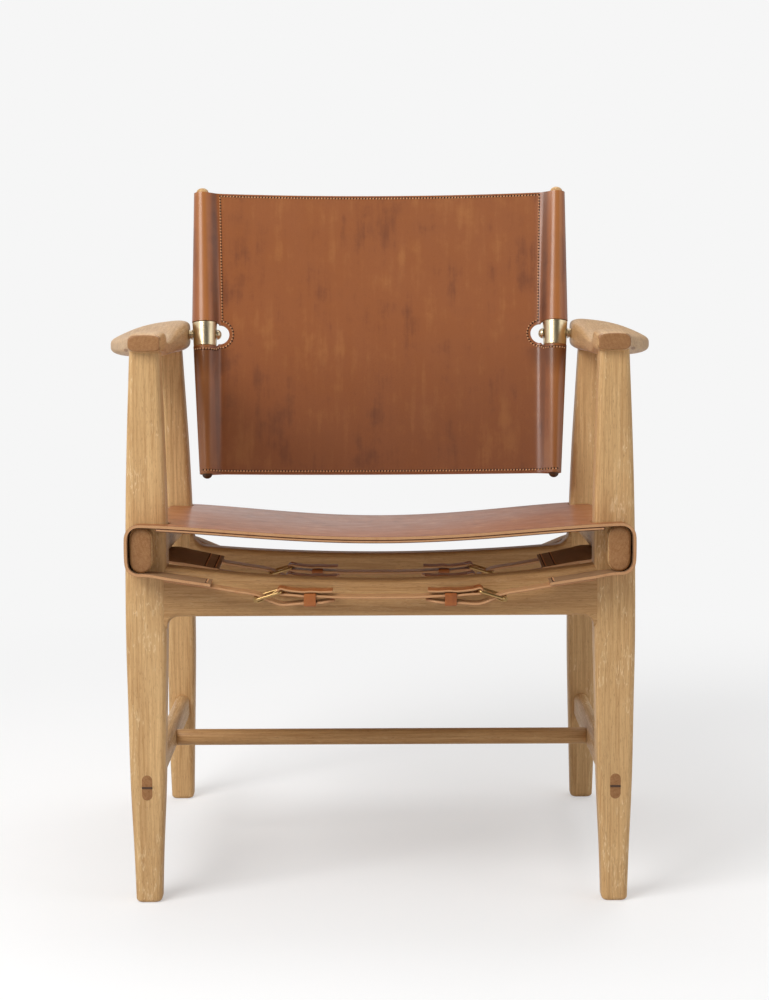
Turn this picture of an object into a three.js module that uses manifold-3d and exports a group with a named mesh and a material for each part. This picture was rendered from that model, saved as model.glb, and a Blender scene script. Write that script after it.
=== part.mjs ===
// Leather sling lounge chair in oak: four shaped legs, sculpted arms, a buckled leather seat
// slung over two rails, and a leather back that pivots on brass bolts between the arms.
// Millimetres, +Z up, +X to the right seen from the front, -Y towards the front.

import * as THREE from 'three';
import { mergeVertices } from 'three/addons/utils/BufferGeometryUtils.js';
import Module from 'manifold-3d';

const wasm = await Module();
wasm.setup();

// Fits and mesh fineness
const FIT = 0.3; // gap between pieces that touch
const RUNNING_GAP = 0.6; // gap between pieces that move past each other
const OVERRUN = 20; // how far a cutting shape runs past what it cuts
const CORNER_STEPS = 3; // steps round one corner of a section
const CORNER_LIMIT_SHARE = 0.48; // largest corner radius, of the section's smaller side
const FILLET_STEPS = 4; // steps round one fillet
const WELD = 1e-4; // points closer than this are one point

// Frame spacing. Depths are measured back from the front face of the front legs.
const REAR_LEG_Y = 505; // front face of the rear legs
const FRONT_LEG_HEIGHT = 659;
const REAR_LEG_DROP = 28; // how much lower the rear legs end
const REAR_LEG_HEIGHT = FRONT_LEG_HEIGHT - REAR_LEG_DROP;
const LEG_INNER = 251.5; // innermost point of a leg, out from the centre plane
const LEG_SPAN = 49.1; // from there to its outermost point
const FRONT_LEG_DEPTH = 46;
const REAR_LEG_DEPTH = 38;
const LEG_EDGE = 7.5; // radius of a leg's long edges
const FOOT_EDGE = 4; // rounding at the foot
// Legs by height: inner side and outer side as shares of the span, then depth share
const frontLegShares = [
  [0, 0.23, 0.853, 0.7],
  [0.08, 0.195, 0.882, 0.74],
  [0.22, 0.106, 0.951, 0.81],
  [0.37, 0.059, 0.98, 0.9],
  [0.48, 0.02, 1, 0.96],
  [0.61, 0, 0.988, 1],
  [0.75, 0.01, 0.947, 0.97],
  [0.86, 0.045, 0.894, 0.92],
  [1, 0.1, 0.809, 0.82],
];
const rearLegShares = [
  [0, 0.263, 0.878, 0.82],
  [0.106, 0.232, 0.919, 0.87],
  [0.217, 0.198, 0.931, 0.93],
  [0.352, 0.169, 0.931, 0.98],
  [0.6, 0.2, 0.926, 1],
  [0.772, 0.275, 0.95, 0.98],
  [0.859, 0.336, 0.985, 0.96],
  [1, 0.438, 1.04, 0.9],
];
const ARM_PEG_RADIUS = 8; // round tenon on top of each leg
const ARM_PEG_HEIGHT = 9;

// Seat rails: front and rear ends of one tapered bar on each side
const RAIL_FRONT_Y = -30;
const RAIL_REAR_REACH = 28; // from the rear leg's back to the rail's rear end
const RAIL_REAR_Y = REAR_LEG_Y + REAR_LEG_DEPTH + RAIL_REAR_REACH;
const RAIL_LENGTH = RAIL_REAR_Y - RAIL_FRONT_Y;
const RAIL_X = 277.75;
const RAIL_SPREAD = 5.2; // how much further out the rail's rear end is
const RAIL_WIDTH = 25.5;
const RAIL_REAR_WIDTH = 19;
const RAIL_TOP = 456;
const RAIL_HEIGHT = 53;
const RAIL_REAR_HEIGHT = 40;
const RAIL_FALL = 50.8; // how far the top drops from front to rear
const RAIL_END_EDGE = 2;

// Aprons
const APRON_DEPTH = 34;
const APRON_SETBACK = 1.5;
const APRON_EDGE = 7;
const FRONT_APRON_BOTTOM = 345.5;
const FRONT_APRON_HEIGHT = 42;
const FRONT_APRON_RISE = 17.5; // how much higher its top is at the legs
const FRONT_APRON_FILLET = 14;
const REAR_APRON_BOTTOM = 308;
const REAR_APRON_HEIGHT = 38;
const REAR_APRON_RISE = 12;
const REAR_APRON_FILLET = 19;
const REAR_APRON_DEPTH = 30;
const TENON_THICKNESS = 12;
const TENON_LENGTH = 20;
const TENON_SHOULDER = 7; // material above and below an apron's tenon

// Stretchers
const STRETCHER_FRONT_Z = 140.5; // middle of a side stretcher at the chair's front
const STRETCHER_FALL = 10; // how much lower its middle is at the rear leg
const STRETCHER_X = 278;
const STRETCHER_THICKNESS = 20;
const STRETCHER_HEIGHT = 35;
const STRETCHER_TENON_WIDTH = 13;
const STRETCHER_TENON_HEIGHT = 31;
const WEDGE_THICKNESS = 2.4;
const WEDGE_LENGTH = 22;
const WEDGE_TIP_SHARE = 0.35; // the wedge's thickness at its inner end
const CROSS_RADIUS = 10.5;
const CROSS_Y = 300;
const CROSS_PEG_RADIUS = 7;
const CROSS_PEG_LENGTH = 12;

// Arms
const ARM_FRONT_Y = -10;
const ARM_REAR_REACH = 42; // from the rear leg's back to the arm's rear end
const ARM_LENGTH = REAR_LEG_Y + REAR_LEG_DEPTH + ARM_REAR_REACH - ARM_FRONT_Y;
const ARM_X = 273.5;
const ARM_REACH = 81.5; // from ARM_X out to the widest rim
const ARM_INNER = 21; // from ARM_X in to the inner edge
const ARM_COVER = 20; // from the front leg's top to the arm's highest line
const ARM_SEAT = 2; // underside of the arm's front edge above the leg's top
const REAR_BED = 6; // how deep the rear leg is let into the arm
const ARM_THINNING = 4;
const ARM_TOP = FRONT_LEG_HEIGHT + ARM_COVER;
const ARM_UNDER = FRONT_LEG_HEIGHT + ARM_SEAT;
const ARM_UNDER_FALL = REAR_LEG_DROP + REAR_BED;
const ARM_DIP = ARM_UNDER_FALL - ARM_THINNING;
const ARM_CROWN_SHARE = 0.03; // how far the top is crowned, of its width
const ARM_RING_STEPS = 20;
// Along the arm, then shares of reach, inner edge, dip of the inner and outer top, fall below
const armShares = [
  [0, 0.215, 0.9, 0.07, 0.07, 0.05],
  [0.012, 0.235, 0.98, 0.02, 0.02, 0.09],
  [0.03, 0.24, 1, 0, 0, 0.14],
  [0.092, 0.245, 1, 0, 0.01, 0.16],
  [0.185, 0.337, 0.83, 0.13, 0.16, 0.33],
  [0.303, 0.534, 0.55, 0.47, 0.42, 0.55],
  [0.437, 0.742, 0.31, 0.73, 0.6, 0.7],
  [0.588, 0.939, 0.17, 0.83, 0.72, 0.83],
  [0.706, 1, 0.21, 0.67, 0.79, 0.92],
  [0.807, 0.975, 0.38, 0.46, 0.78, 0.99],
  [0.891, 0.853, 0.524, 0.36, 0.7, 1],
  [0.95, 0.644, 0.47, 0.38, 0.62, 0.94],
  [0.985, 0.4, 0.15, 0.44, 0.57, 0.78],
  [1, 0.26, -0.08, 0.54, 0.62, 0.6],
];
const INNER_ROUND = 0.36; // squareness of the arm's inner and outer edges, 0 square, 1 pointed
const OUTER_ROUND = 0.62;

// Seat leather
const SLING_THICKNESS = 3.6;
const LINING_THICKNESS = 3.6;
const SEAT_FRONT_Y = -36;
const SEAT_REAR_COVER = 6; // how far the leather runs past the rail's rear end
const SEAT_REAR_Y = RAIL_REAR_Y + SEAT_REAR_COVER;
const SEAT_SAG = 22;
const NOTCH_SLACK = 2; // leather kept clear of the legs
const LINING_EDGE = 2; // lining kept clear of the rails
const SIDE_SLACK = 2.6; // hollow between a rail's outer face and the leather
const FLAP_END_X = 197;
const MIDDLE_FLAP_END_X = 204;
const flapDrops = [11, 14, 30]; // fall of the front, middle and rear flap to its end
const MIDDLE_FLAP_HALF = 55; // half width of the middle flap's end
// Half widths of the middle flap from the rail's outer corner to its end, in flap ends
const flapWidthShares = [2.4, 1.9, 1.36, 1.09, 1];
const sagShares = [0.69, 1, 0.82]; // front, middle and rear sag
const SAG_FLAT_SHARE = 0.7; // how much the sag levels out near the rails
const BEND_SHARE = 0.25; // share of a flap's fall that comes before the straps start

// Strap rows under the seat
const MIDDLE_FLAP_Y = 262;
const MIDDLE_SPACING = 80; // between the two straps of the middle flap
const STRAP_WIDTH = 22;
const STRAP_THICKNESS = 2.9;
const STRAP_ROOT_X = 251;
const ROLLER_X = 144.7;
const ROLLER_DROP = 17.6; // roller's axis below the flap's end
const HEEL_X = 115.5;
const HEEL_RISE = 8.7; // heel bar above the roller
const WIRE_RADIUS = 1.7;
const ROLLER_RADIUS = 3.2;
const BUCKLE_SLACK = 1; // between the strap's edge and the buckle's side
const BUCKLE_CORNER = 2.2; // bend radius at the buckle's corners
const PRONG_RADIUS = 1.1;
const PRONG_BEND_SHARE = 0.52; // height of the prong's middle, from the heel bar to its tip
const KEEPER_X = 82;
const KEEPER_LENGTH = 14;
const KEEPER_WALL = 1.8;
const KEEPER_TOP_DROP = 11; // keeper's top below the flap's end
const KEEPER_HEIGHT = 15.4;
const CHAPE_END_X = 55.5;
const TIP_X = 53;
const TIP_LENGTH = 13;
const TIP_SHARE = 0.25; // width left at the very tip
const CENTRE_DROP = 17.6; // middle of the centre strap below the flap's end
const CENTRE_EASE_SHARE = 0.5; // where the strap reaches that depth, of the keeper's place
const foldLeadShares = [1 / 3, 2 / 3]; // where the fold's two legs leave the heel bar
const CHAPE_SLOT = 5.4; // slot for the prong where the strap folds
const CHAPE_SLOT_REACH = 7; // how far it runs either side of the heel bar

// Back
const PIVOT_SETBACK = 15; // from the rear leg's front face back to the pivot
const PIVOT_Y = REAR_LEG_Y + PIVOT_SETBACK;
const PIVOT_Z = ARM_TOP - ARM_DIP;
const BACK_TILT = THREE.MathUtils.degToRad(15);
const UPRIGHT_X = 240.6; // upright's axis at the pivot
const UPRIGHT_LEAN = THREE.MathUtils.degToRad(1.3);
const UPRIGHT_TOP = 207;
const UPRIGHT_BOTTOM = 200;
const UPRIGHT_TOP_RADIUS = 8.3;
const UPRIGHT_MID_RADIUS = 14.2;
const UPRIGHT_LOW_RADIUS = 13;
const UPRIGHT_BOTTOM_RADIUS = 6.8;
const DOME_HEIGHT = 6;
const BACK_LEATHER_TOP = 200.2;
const BACK_LEATHER_BOTTOM = 194.6;
const BACK_LEATHER_THICKNESS = 3;
const BACK_TOP_DIP = 2.4;
const BACK_BOW = 10;
const SEAM_INSET = 21.5; // seam inboard of the upright's axis
const COLLAR_HEIGHT = 33;
const COLLAR_WALL = 1.9;
const NOTCH_HEIGHT = 34.2;
const EYE_RADIUS = 13.8; // round inner end of the opening beside the collar
const EYE_X = 207; // innermost point of that opening
const BOLT_RADIUS = 4;
const BOLT_HEAD_RADIUS = 7;
const BOLT_HEAD_HEIGHT = 6;
const BOLT_GRIP = 24; // bolt's length inside the arm
const BOLT_EDGE = 1;
const WASHER_RADIUS = 7;
const WASHER_WAIST = 5.2;

// Derived sizes
const STRAP_HALF = STRAP_WIDTH / 2;
const BACK_PANEL = 2 * BACK_LEATHER_THICKNESS;

const oak = (name, color) =>
  new THREE.MeshStandardMaterial({ name, color, roughness: 0.62, metalness: 0 });
const OAK = oak('oak', 0xb98f5f);
const WEDGE_WOOD = oak('dark_wood', 0x5a3523);
const LEATHER = new THREE.MeshStandardMaterial({
  name: 'leather',
  color: 0x8f5433,
  roughness: 0.45,
  metalness: 0,
});
const BRASS = new THREE.MeshStandardMaterial({
  name: 'brass',
  color: 0xb79a63,
  roughness: 0.32,
  metalness: 1,
});

// Solids and meshes

// A closed geometry as a solid that can be joined and cut.
function solidOf(geometry) {
  const bare = geometry.clone();
  bare.deleteAttribute('normal');
  bare.deleteAttribute('uv');
  const welded = mergeVertices(bare, WELD);
  return new wasm.Manifold(
    new wasm.Mesh({
      numProp: 3,
      vertProperties: welded.attributes.position.array,
      triVerts: new Uint32Array(welded.index.array),
    }),
  );
}

// The geometry of a solid, flat shaded.
function geometryOf(solid) {
  const { vertProperties, triVerts } = solid.getMesh();
  const indexed = new THREE.BufferGeometry();
  indexed.setAttribute('position', new THREE.BufferAttribute(new Float32Array(vertProperties), 3));
  indexed.setIndex(new THREE.BufferAttribute(new Uint32Array(triVerts), 1));
  const geometry = indexed.toNonIndexed();
  geometry.computeVertexNormals();
  return geometry;
}

// A closed surface from points and triangles, with its faces turned out.
function closedSurface(points, triangles) {
  let volume = 0;
  const face = new THREE.Vector3();
  for (let k = 0; k < triangles.length; k += 3) {
    const [a, b, c] = [points[triangles[k]], points[triangles[k + 1]], points[triangles[k + 2]]];
    volume += face.crossVectors(b, c).dot(a);
  }
  const index = volume < 0 ? [...triangles].reverse() : triangles;
  const geometry = new THREE.BufferGeometry().setFromPoints(points);
  geometry.setIndex(index);
  return geometry;
}

// A skin over rings of points, all with the same count, closed at both ends.
function loft(rings) {
  const count = rings[0].length;
  const triangles = [];
  for (let k = 0; k + 1 < rings.length; k++) {
    for (let i = 0; i < count; i++) {
      const a = k * count + i;
      const b = k * count + ((i + 1) % count);
      triangles.push(a, b, b + count, a, b + count, a + count);
    }
  }
  const last = (rings.length - 1) * count;
  for (let i = 1; i + 1 < count; i++) {
    triangles.push(0, i + 1, i, last, last + i, last + i + 1);
  }
  return closedSurface(rings.flat(), triangles);
}

// A plate over a grid of places, each with an upper and a lower point, where cells can be left out.
function plate(rows, columns, pointsAt, keep) {
  const points = [];
  for (let i = 0; i < rows; i++) {
    for (let j = 0; j < columns; j++) points.push(...pointsAt(i, j));
  }
  const upper = (i, j) => 2 * (i * columns + j);
  const triangles = [];
  const quad = (a, b, c, d) => triangles.push(a, b, c, a, c, d);
  const kept = (i, j) => i >= 0 && j >= 0 && i + 1 < rows && j + 1 < columns && keep(i, j);
  for (let i = 0; i + 1 < rows; i++) {
    for (let j = 0; j + 1 < columns; j++) {
      if (!kept(i, j)) continue;
      const [a, b, c, d] = [upper(i, j), upper(i + 1, j), upper(i + 1, j + 1), upper(i, j + 1)];
      quad(a, b, c, d);
      quad(d + 1, c + 1, b + 1, a + 1);
      if (!kept(i, j - 1)) quad(b, a, a + 1, b + 1);
      if (!kept(i + 1, j)) quad(c, b, b + 1, c + 1);
      if (!kept(i, j + 1)) quad(d, c, c + 1, d + 1);
      if (!kept(i - 1, j)) quad(a, d, d + 1, a + 1);
    }
  }
  return closedSurface(points, triangles);
}

// A rectangle with round corners, as points going anticlockwise.
function roundRect(width, height, radius) {
  const corner = Math.min(radius, CORNER_LIMIT_SHARE * width, CORNER_LIMIT_SHARE * height);
  const points = [];
  [[1, 1], [-1, 1], [-1, -1], [1, -1]].forEach(([right, up], turn) => {
    for (let i = 0; i <= CORNER_STEPS; i++) {
      const angle = ((turn + i / CORNER_STEPS) * Math.PI) / 2;
      const x = right * (width / 2 - corner) + corner * Math.cos(angle);
      const y = up * (height / 2 - corner) + corner * Math.sin(angle);
      points.push(new THREE.Vector2(x, y));
    }
  });
  return points;
}

// A smooth function through rows of a table: the first column is the place, COLUMN the value.
function smooth(table, column) {
  const places = table.map((row) => row[0]);
  const values = table.map((row) => row[column]);
  const curve = new THREE.CubicInterpolant(places, values, 1, [0]);
  return (place) => curve.evaluate(place)[0];
}

// COUNT + 1 even places from START to END.
function places(start, end, count) {
  return Array.from({ length: count + 1 }, (_, i) => start + ((end - start) * i) / count);
}

// A body turned from half widths along an axis, each entry a radius and a place on the axis.
function turned(profile, segments) {
  const points = profile.map(([radius, place]) => new THREE.Vector2(radius, place));
  return new THREE.LatheGeometry(points, segments).rotateX(Math.PI / 2);
}

// A tube wall turned from an outer profile and an inner radius at each end.
function turnedTube(outer, innerStart, innerEnd, segments) {
  const first = outer[0];
  const last = outer[outer.length - 1];
  const loop = [...outer, [innerEnd, last[1]], [innerStart, first[1]], first];
  return turned(loop, segments);
}

// Legs

// The section of a leg at a height, grown by GROW and drawn in by INSET on every side.
function legRing(leg, height, grow, inset) {
  const along = THREE.MathUtils.clamp(height / leg.height, 0, 1);
  const [inner, outer] = [leg.innerAt(along), leg.outerAt(along)];
  const depth = leg.depth * leg.depthAt(along);
  const x = LEG_INNER + (LEG_SPAN * (inner + outer)) / 2;
  const spread = 2 * (grow - inset);
  return roundRect(LEG_SPAN * (outer - inner) + spread, depth + spread, LEG_EDGE).map(
    (p) => new THREE.Vector3(x + p.x, leg.y + depth / 2 + p.y, height),
  );
}

function legShell(leg, grow) {
  const stations = places(FOOT_EDGE, leg.height, 9);
  const rings = stations.map((height) => legRing(leg, height, grow, 0));
  rings.unshift(legRing(leg, 0, grow, FOOT_EDGE / 2));
  if (grow) rings.push(legRing(leg, leg.height + grow, grow, 0));
  return solidOf(loft(rings));
}

// The round tenon that holds an arm on a leg, grown by GROW.
function armPeg(leg, grow) {
  const middle = legRing(leg, leg.height, 0, 0);
  const centre = new THREE.Box3().setFromPoints(middle).getCenter(new THREE.Vector3());
  const radius = ARM_PEG_RADIUS + grow;
  const start = -ARM_PEG_HEIGHT;
  const end = ARM_PEG_HEIGHT + grow;
  const peg = turned([[0, start], [radius, start], [radius, end], [0, end]], 16);
  return solidOf(peg.translate(centre.x, centre.y, leg.height));
}

const frontLeg = {
  height: FRONT_LEG_HEIGHT,
  depth: FRONT_LEG_DEPTH,
  y: 0,
  innerAt: smooth(frontLegShares, 1),
  outerAt: smooth(frontLegShares, 2),
  depthAt: smooth(frontLegShares, 3),
};
const rearLeg = {
  height: REAR_LEG_HEIGHT,
  depth: REAR_LEG_DEPTH,
  y: REAR_LEG_Y,
  innerAt: smooth(rearLegShares, 1),
  outerAt: smooth(rearLegShares, 2),
  depthAt: smooth(rearLegShares, 3),
};

// Inner face of a leg, out from the centre plane, at a height.
function legInner(leg, height) {
  return Math.min(...legRing(leg, height, 0, 0).map((p) => p.x));
}

// Seat rails

// Middle, half width, top and bottom of the right rail at a depth.
function railAt(y) {
  const along = (y - RAIL_FRONT_Y) / RAIL_LENGTH;
  const half = THREE.MathUtils.lerp(RAIL_WIDTH, RAIL_REAR_WIDTH, along) / 2;
  const top = RAIL_TOP - RAIL_FALL * along;
  const height = THREE.MathUtils.lerp(RAIL_HEIGHT, RAIL_REAR_HEIGHT, along);
  return { x: RAIL_X + RAIL_SPREAD * along, half, top, bottom: top - height };
}

function railRing(y, grow, inset) {
  const rail = railAt(y);
  const width = 2 * (rail.half + grow - inset);
  const height = rail.top - rail.bottom + 2 * (grow - inset);
  const middle = (rail.top + rail.bottom) / 2;
  return roundRect(width, height, width / 2).map(
    (p) => new THREE.Vector3(rail.x + p.x, y, middle + p.y),
  );
}

function railShell(grow) {
  const start = RAIL_FRONT_Y - grow;
  const end = RAIL_REAR_Y + grow;
  const rings = places(start + RAIL_END_EDGE, end - RAIL_END_EDGE, 4).map((y) => railRing(y, grow, 0));
  rings.unshift(railRing(start, grow, RAIL_END_EDGE));
  rings.push(railRing(end, grow, RAIL_END_EDGE));
  return solidOf(loft(rings));
}

// Aprons and stretchers

// How far a fillet has moved the edge at DISTANCE from the face that it meets.
function filletRise(radius, distance) {
  const left = Math.max(0, radius - distance);
  return radius - Math.sqrt(Math.max(0, radius * radius - left * left));
}

// Places across an apron: even in the middle, close together in the end fillets.
function apronPlaces(reach, fillet) {
  const half = [...places(0, reach - fillet, 4)];
  for (let i = 1; i <= FILLET_STEPS; i++) {
    half.push(reach - fillet * (1 - Math.sin((i * Math.PI) / 2 / FILLET_STEPS)));
  }
  half.push(reach + LEG_EDGE);
  return [...half.slice(1).map((x) => -x).reverse(), ...half];
}

// An apron across the chair, its ends run into the legs.
function apronBar(apron) {
  const reach = legInner(apron.leg, apron.bottom + apron.height / 2) - FIT;
  const rings = apronPlaces(reach, apron.fillet).map((x) => {
    const share = x / reach;
    const fillet = filletRise(apron.fillet, reach - Math.abs(x));
    const top = apron.bottom + apron.height + apron.rise * share * share + apron.filletUp * fillet;
    const bottom = apron.bottom - (1 - apron.filletUp) * fillet;
    const middle = (top + bottom) / 2;
    return roundRect(apron.depth, top - bottom, APRON_EDGE).map(
      (p) => new THREE.Vector3(x, apron.y + apron.depth / 2 + p.x, middle + p.y),
    );
  });
  return solidOf(loft(rings));
}

// An apron's tenon on the right, grown by GROW.
function apronTenon(apron, grow) {
  const face = legInner(apron.leg, apron.bottom + apron.height / 2);
  const height = apron.height - 2 * TENON_SHOULDER + 2 * grow;
  const length = 2 * TENON_LENGTH;
  const bar = new THREE.BoxGeometry(length + 2 * grow, TENON_THICKNESS + 2 * grow, height);
  const middle = apron.bottom + apron.height / 2;
  return solidOf(bar.translate(face, apron.y + apron.depth / 2, middle));
}

const frontApron = {
  leg: frontLeg,
  y: APRON_SETBACK,
  depth: APRON_DEPTH,
  bottom: FRONT_APRON_BOTTOM,
  height: FRONT_APRON_HEIGHT,
  rise: FRONT_APRON_RISE,
  fillet: FRONT_APRON_FILLET,
  filletUp: 0,
};
const rearApron = {
  leg: rearLeg,
  y: REAR_LEG_Y + APRON_SETBACK,
  depth: REAR_APRON_DEPTH,
  bottom: REAR_APRON_BOTTOM,
  height: REAR_APRON_HEIGHT,
  rise: REAR_APRON_RISE,
  fillet: REAR_APRON_FILLET,
  filletUp: 1,
};

// Middle height of a side stretcher at a depth.
function stretcherZ(y) {
  return STRETCHER_FRONT_Z - (STRETCHER_FALL * y) / REAR_LEG_Y;
}

// A straight bar with round top and bottom along a side stretcher's line.
function stretcherBar(start, end, width, height) {
  const section = roundRect(width, height, width / 2);
  const rings = [start, end].map((y) =>
    section.map((p) => new THREE.Vector3(STRETCHER_X + p.x, y, stretcherZ(y) + p.y)),
  );
  return solidOf(loft(rings));
}

// The tenons that run through both legs, flush with their outer faces, grown by GROW.
function stretcherTenon(grow) {
  const end = REAR_LEG_Y + rearLeg.depth * rearLeg.depthAt(stretcherZ(REAR_LEG_Y) / REAR_LEG_HEIGHT);
  const width = STRETCHER_TENON_WIDTH + 2 * grow;
  return stretcherBar(-grow, end + grow, width, STRETCHER_TENON_HEIGHT + 2 * grow);
}

// The wedge that spreads the tenon's front end, grown by GROW.
function tenonWedge(grow) {
  const overrun = grow ? OVERRUN : 0;
  const half = STRETCHER_TENON_WIDTH / 2 + overrun;
  const corners = [[half, 1], [-half, 1], [-half, -1], [half, -1]];
  const rings = [-overrun, WEDGE_LENGTH + grow].map((y) => {
    const share = THREE.MathUtils.lerp(1, WEDGE_TIP_SHARE, y / WEDGE_LENGTH);
    const rise = (WEDGE_THICKNESS * share) / 2 + grow;
    return corners.map(([x, up]) => new THREE.Vector3(STRETCHER_X + x, y, stretcherZ(y) + up * rise));
  });
  return solidOf(loft(rings));
}

// The turned bar between the side stretchers, grown by GROW.
function crossBar(grow) {
  const face = STRETCHER_X - STRETCHER_THICKNESS / 2 - FIT;
  const tip = face + CROSS_PEG_LENGTH + grow;
  const peg = CROSS_PEG_RADIUS + grow;
  const bar = turned(
    [[0, -tip], [peg, -tip], [peg, -face], [CROSS_RADIUS, -face],
      [CROSS_RADIUS, face], [peg, face], [peg, tip], [0, tip]],
    20,
  );
  return solidOf(bar.rotateY(Math.PI / 2).translate(0, CROSS_Y, stretcherZ(CROSS_Y)));
}

// Arms

// One closed section of the right arm: inner edge, outer edge, tops and underside at a station.
function armRing(along) {
  const outer = ARM_X + ARM_REACH * armCurves[1](along);
  const inner = ARM_X - ARM_INNER * armCurves[2](along);
  const topInner = ARM_TOP - ARM_DIP * armCurves[3](along);
  const topOuter = ARM_TOP - ARM_DIP * armCurves[4](along);
  const bottom = ARM_UNDER - ARM_UNDER_FALL * armCurves[5](along);
  const ring = [];
  for (let i = 0; i < ARM_RING_STEPS; i++) {
    const angle = (2 * Math.PI * (i + 0.5)) / ARM_RING_STEPS;
    const [c, s] = [Math.cos(angle), Math.sin(angle)];
    const round = THREE.MathUtils.lerp(INNER_ROUND, OUTER_ROUND, (1 + c) / 2);
    const across = 0.5 + 0.5 * Math.sign(c) * Math.abs(c) ** round;
    const up = 0.5 + 0.5 * Math.sign(s) * Math.abs(s) ** round;
    const crown = ARM_CROWN_SHARE * (outer - inner) * 4 * across * (1 - across);
    const top = THREE.MathUtils.lerp(topInner, topOuter, across) + crown;
    const x = THREE.MathUtils.lerp(inner, outer, across);
    const y = ARM_FRONT_Y + ARM_LENGTH * along;
    ring.push(new THREE.Vector3(x, y, THREE.MathUtils.lerp(bottom, top, up)));
  }
  return ring;
}
const armCurves = [null, 1, 2, 3, 4, 5].map((column) => column && smooth(armShares, column));
const armStationShares = [0, 0.012, 0.03, 0.06, ...places(0.1, 0.9, 12), 0.93, 0.96, 0.985, 1];

function armShell() {
  return solidOf(loft(armStationShares.map(armRing)));
}

// Inner face of the arm beside the pivot.
const pivotAlong = (PIVOT_Y - ARM_FRONT_Y) / ARM_LENGTH;
const armFaceX = Math.min(...armRing(pivotAlong).map((p) => p.x));

// Seat leather

// Height of the sling's middle surface over its rails at a depth, and its sag there.
function seatEdge(y) {
  return railAt(y).top + FIT + SLING_THICKNESS / 2;
}
function seatSag(y) {
  const along = (y - SEAT_FRONT_Y) / (SEAT_REAR_Y - SEAT_FRONT_Y);
  const [front, middle, rear] = sagShares;
  const early = 2 * (along - 0.5) * (along - 1) * front;
  const late = 2 * along * (along - 0.5) * rear;
  return SEAT_SAG * (early - 4 * along * (along - 1) * middle + late);
}
// The sagging middle surface: flat in the middle, then rising and easing over the rail.
function seatHeight(x, y) {
  const share = Math.min(1, Math.abs(x) / railAt(y).x);
  const rise = share * share * (1 + SAG_FLAT_SHARE - SAG_FLAT_SHARE * share * share);
  return seatEdge(y) - seatSag(y) * (1 - rise);
}

// Depths of the seat's front, its two pairs of notches round the legs, and its rear.
const legTopDepth = (leg) => leg.depth * leg.depthAt(RAIL_TOP / leg.height);
const seatDepths = [
  SEAT_FRONT_Y,
  -NOTCH_SLACK,
  legTopDepth(frontLeg) + NOTCH_SLACK,
  REAR_LEG_Y - NOTCH_SLACK,
  REAR_LEG_Y + legTopDepth(rearLeg) + NOTCH_SLACK,
  SEAT_REAR_Y,
];
const FRONT_ROW_Y = (seatDepths[0] + seatDepths[1]) / 2;
const REAR_ROW_Y = (seatDepths[4] + seatDepths[5]) / 2;
const FRONT_NOTCH_X = legInner(frontLeg, RAIL_TOP) - NOTCH_SLACK;
const REAR_NOTCH_X = legInner(rearLeg, RAIL_TOP - RAIL_FALL) - NOTCH_SLACK;

// How far a flap has dropped below the rail at X: gently at first, then straight to its end.
function flapDrop(x, rootX, drop) {
  const bend = drop * BEND_SHARE;
  if (x > STRAP_ROOT_X) return bend * ((rootX - x) / (rootX - STRAP_ROOT_X)) ** 2;
  return bend + (drop - bend) * ((STRAP_ROOT_X - x) / (STRAP_ROOT_X - FLAP_END_X));
}

// Height of the leather's middle surface just under a rail at a depth.
function flapRootZ(y) {
  return railAt(y).bottom - FIT - SLING_THICKNESS / 2;
}

// The sling's middle line from the centre over a rail and back under it, at one depth.
// Band 0 is the front tab, 1 the middle one and 2 the rear one.
const overShares = [0, 0.16, 0.32, 0.48, 0.64, 0.79];
const turnAngles = [60, 30, 0, 0, -30, -60, -90].map(THREE.MathUtils.degToRad);
const bandRows = [FRONT_ROW_Y, MIDDLE_FLAP_Y, REAR_ROW_Y];
function slingLine(y, band) {
  const rail = railAt(y);
  const line = overShares.map((share) => [share * RAIL_X, seatHeight(share * RAIL_X, y)]);
  [FRONT_NOTCH_X, REAR_NOTCH_X, rail.x].forEach((x) => line.push([x, seatHeight(x, y)]));
  turnAngles.forEach((angle, k) => {
    const radius = rail.half + FIT + SLING_THICKNESS / 2 + SIDE_SLACK * Math.cos(angle);
    const centre = k < 3 ? rail.top - rail.half : rail.bottom + rail.half;
    line.push([rail.x + radius * Math.cos(angle), centre + radius * Math.sin(angle)]);
  });
  // The flap turns level with its row on its way to the straps.
  const rowY = bandRows[band];
  const end = band === 1 ? MIDDLE_FLAP_END_X : FLAP_END_X;
  const drop = flapDrops[band];
  [(rail.x + STRAP_ROOT_X) / 2, STRAP_ROOT_X, end].forEach((x, k) => {
    const root = k === 0 ? (flapRootZ(y) + flapRootZ(rowY)) / 2 : flapRootZ(rowY);
    line.push([x, root - flapDrop(x, rail.x, drop)]);
  });
  return line;
}
const overCount = overShares.length;
const lineCount = overCount + 3 + turnAngles.length + 3;
const flapStart = lineCount - flapWidthShares.length;

// Depth lines of the seat grid, and the band that each line belongs to.
const middleDepths = places(seatDepths[2], seatDepths[3], 6);
const gridDepths = [seatDepths[0], seatDepths[1], ...middleDepths, seatDepths[4], seatDepths[5]];
const bandOf = (j) => (j < 2 ? 0 : j < 2 + middleDepths.length ? 1 : 2);

// The middle flap narrows from the rail's outer corner to the width of its two straps.
function flapDepth(j, step) {
  const y = gridDepths[j];
  if (bandOf(j) !== 1 || step < flapStart) return y;
  const full = (seatDepths[3] - seatDepths[2]) / 2;
  const middle = (seatDepths[3] + seatDepths[2]) / 2;
  const half = MIDDLE_FLAP_HALF * flapWidthShares[step - flapStart];
  return MIDDLE_FLAP_Y + ((y - middle) / full) * half;
}

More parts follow.
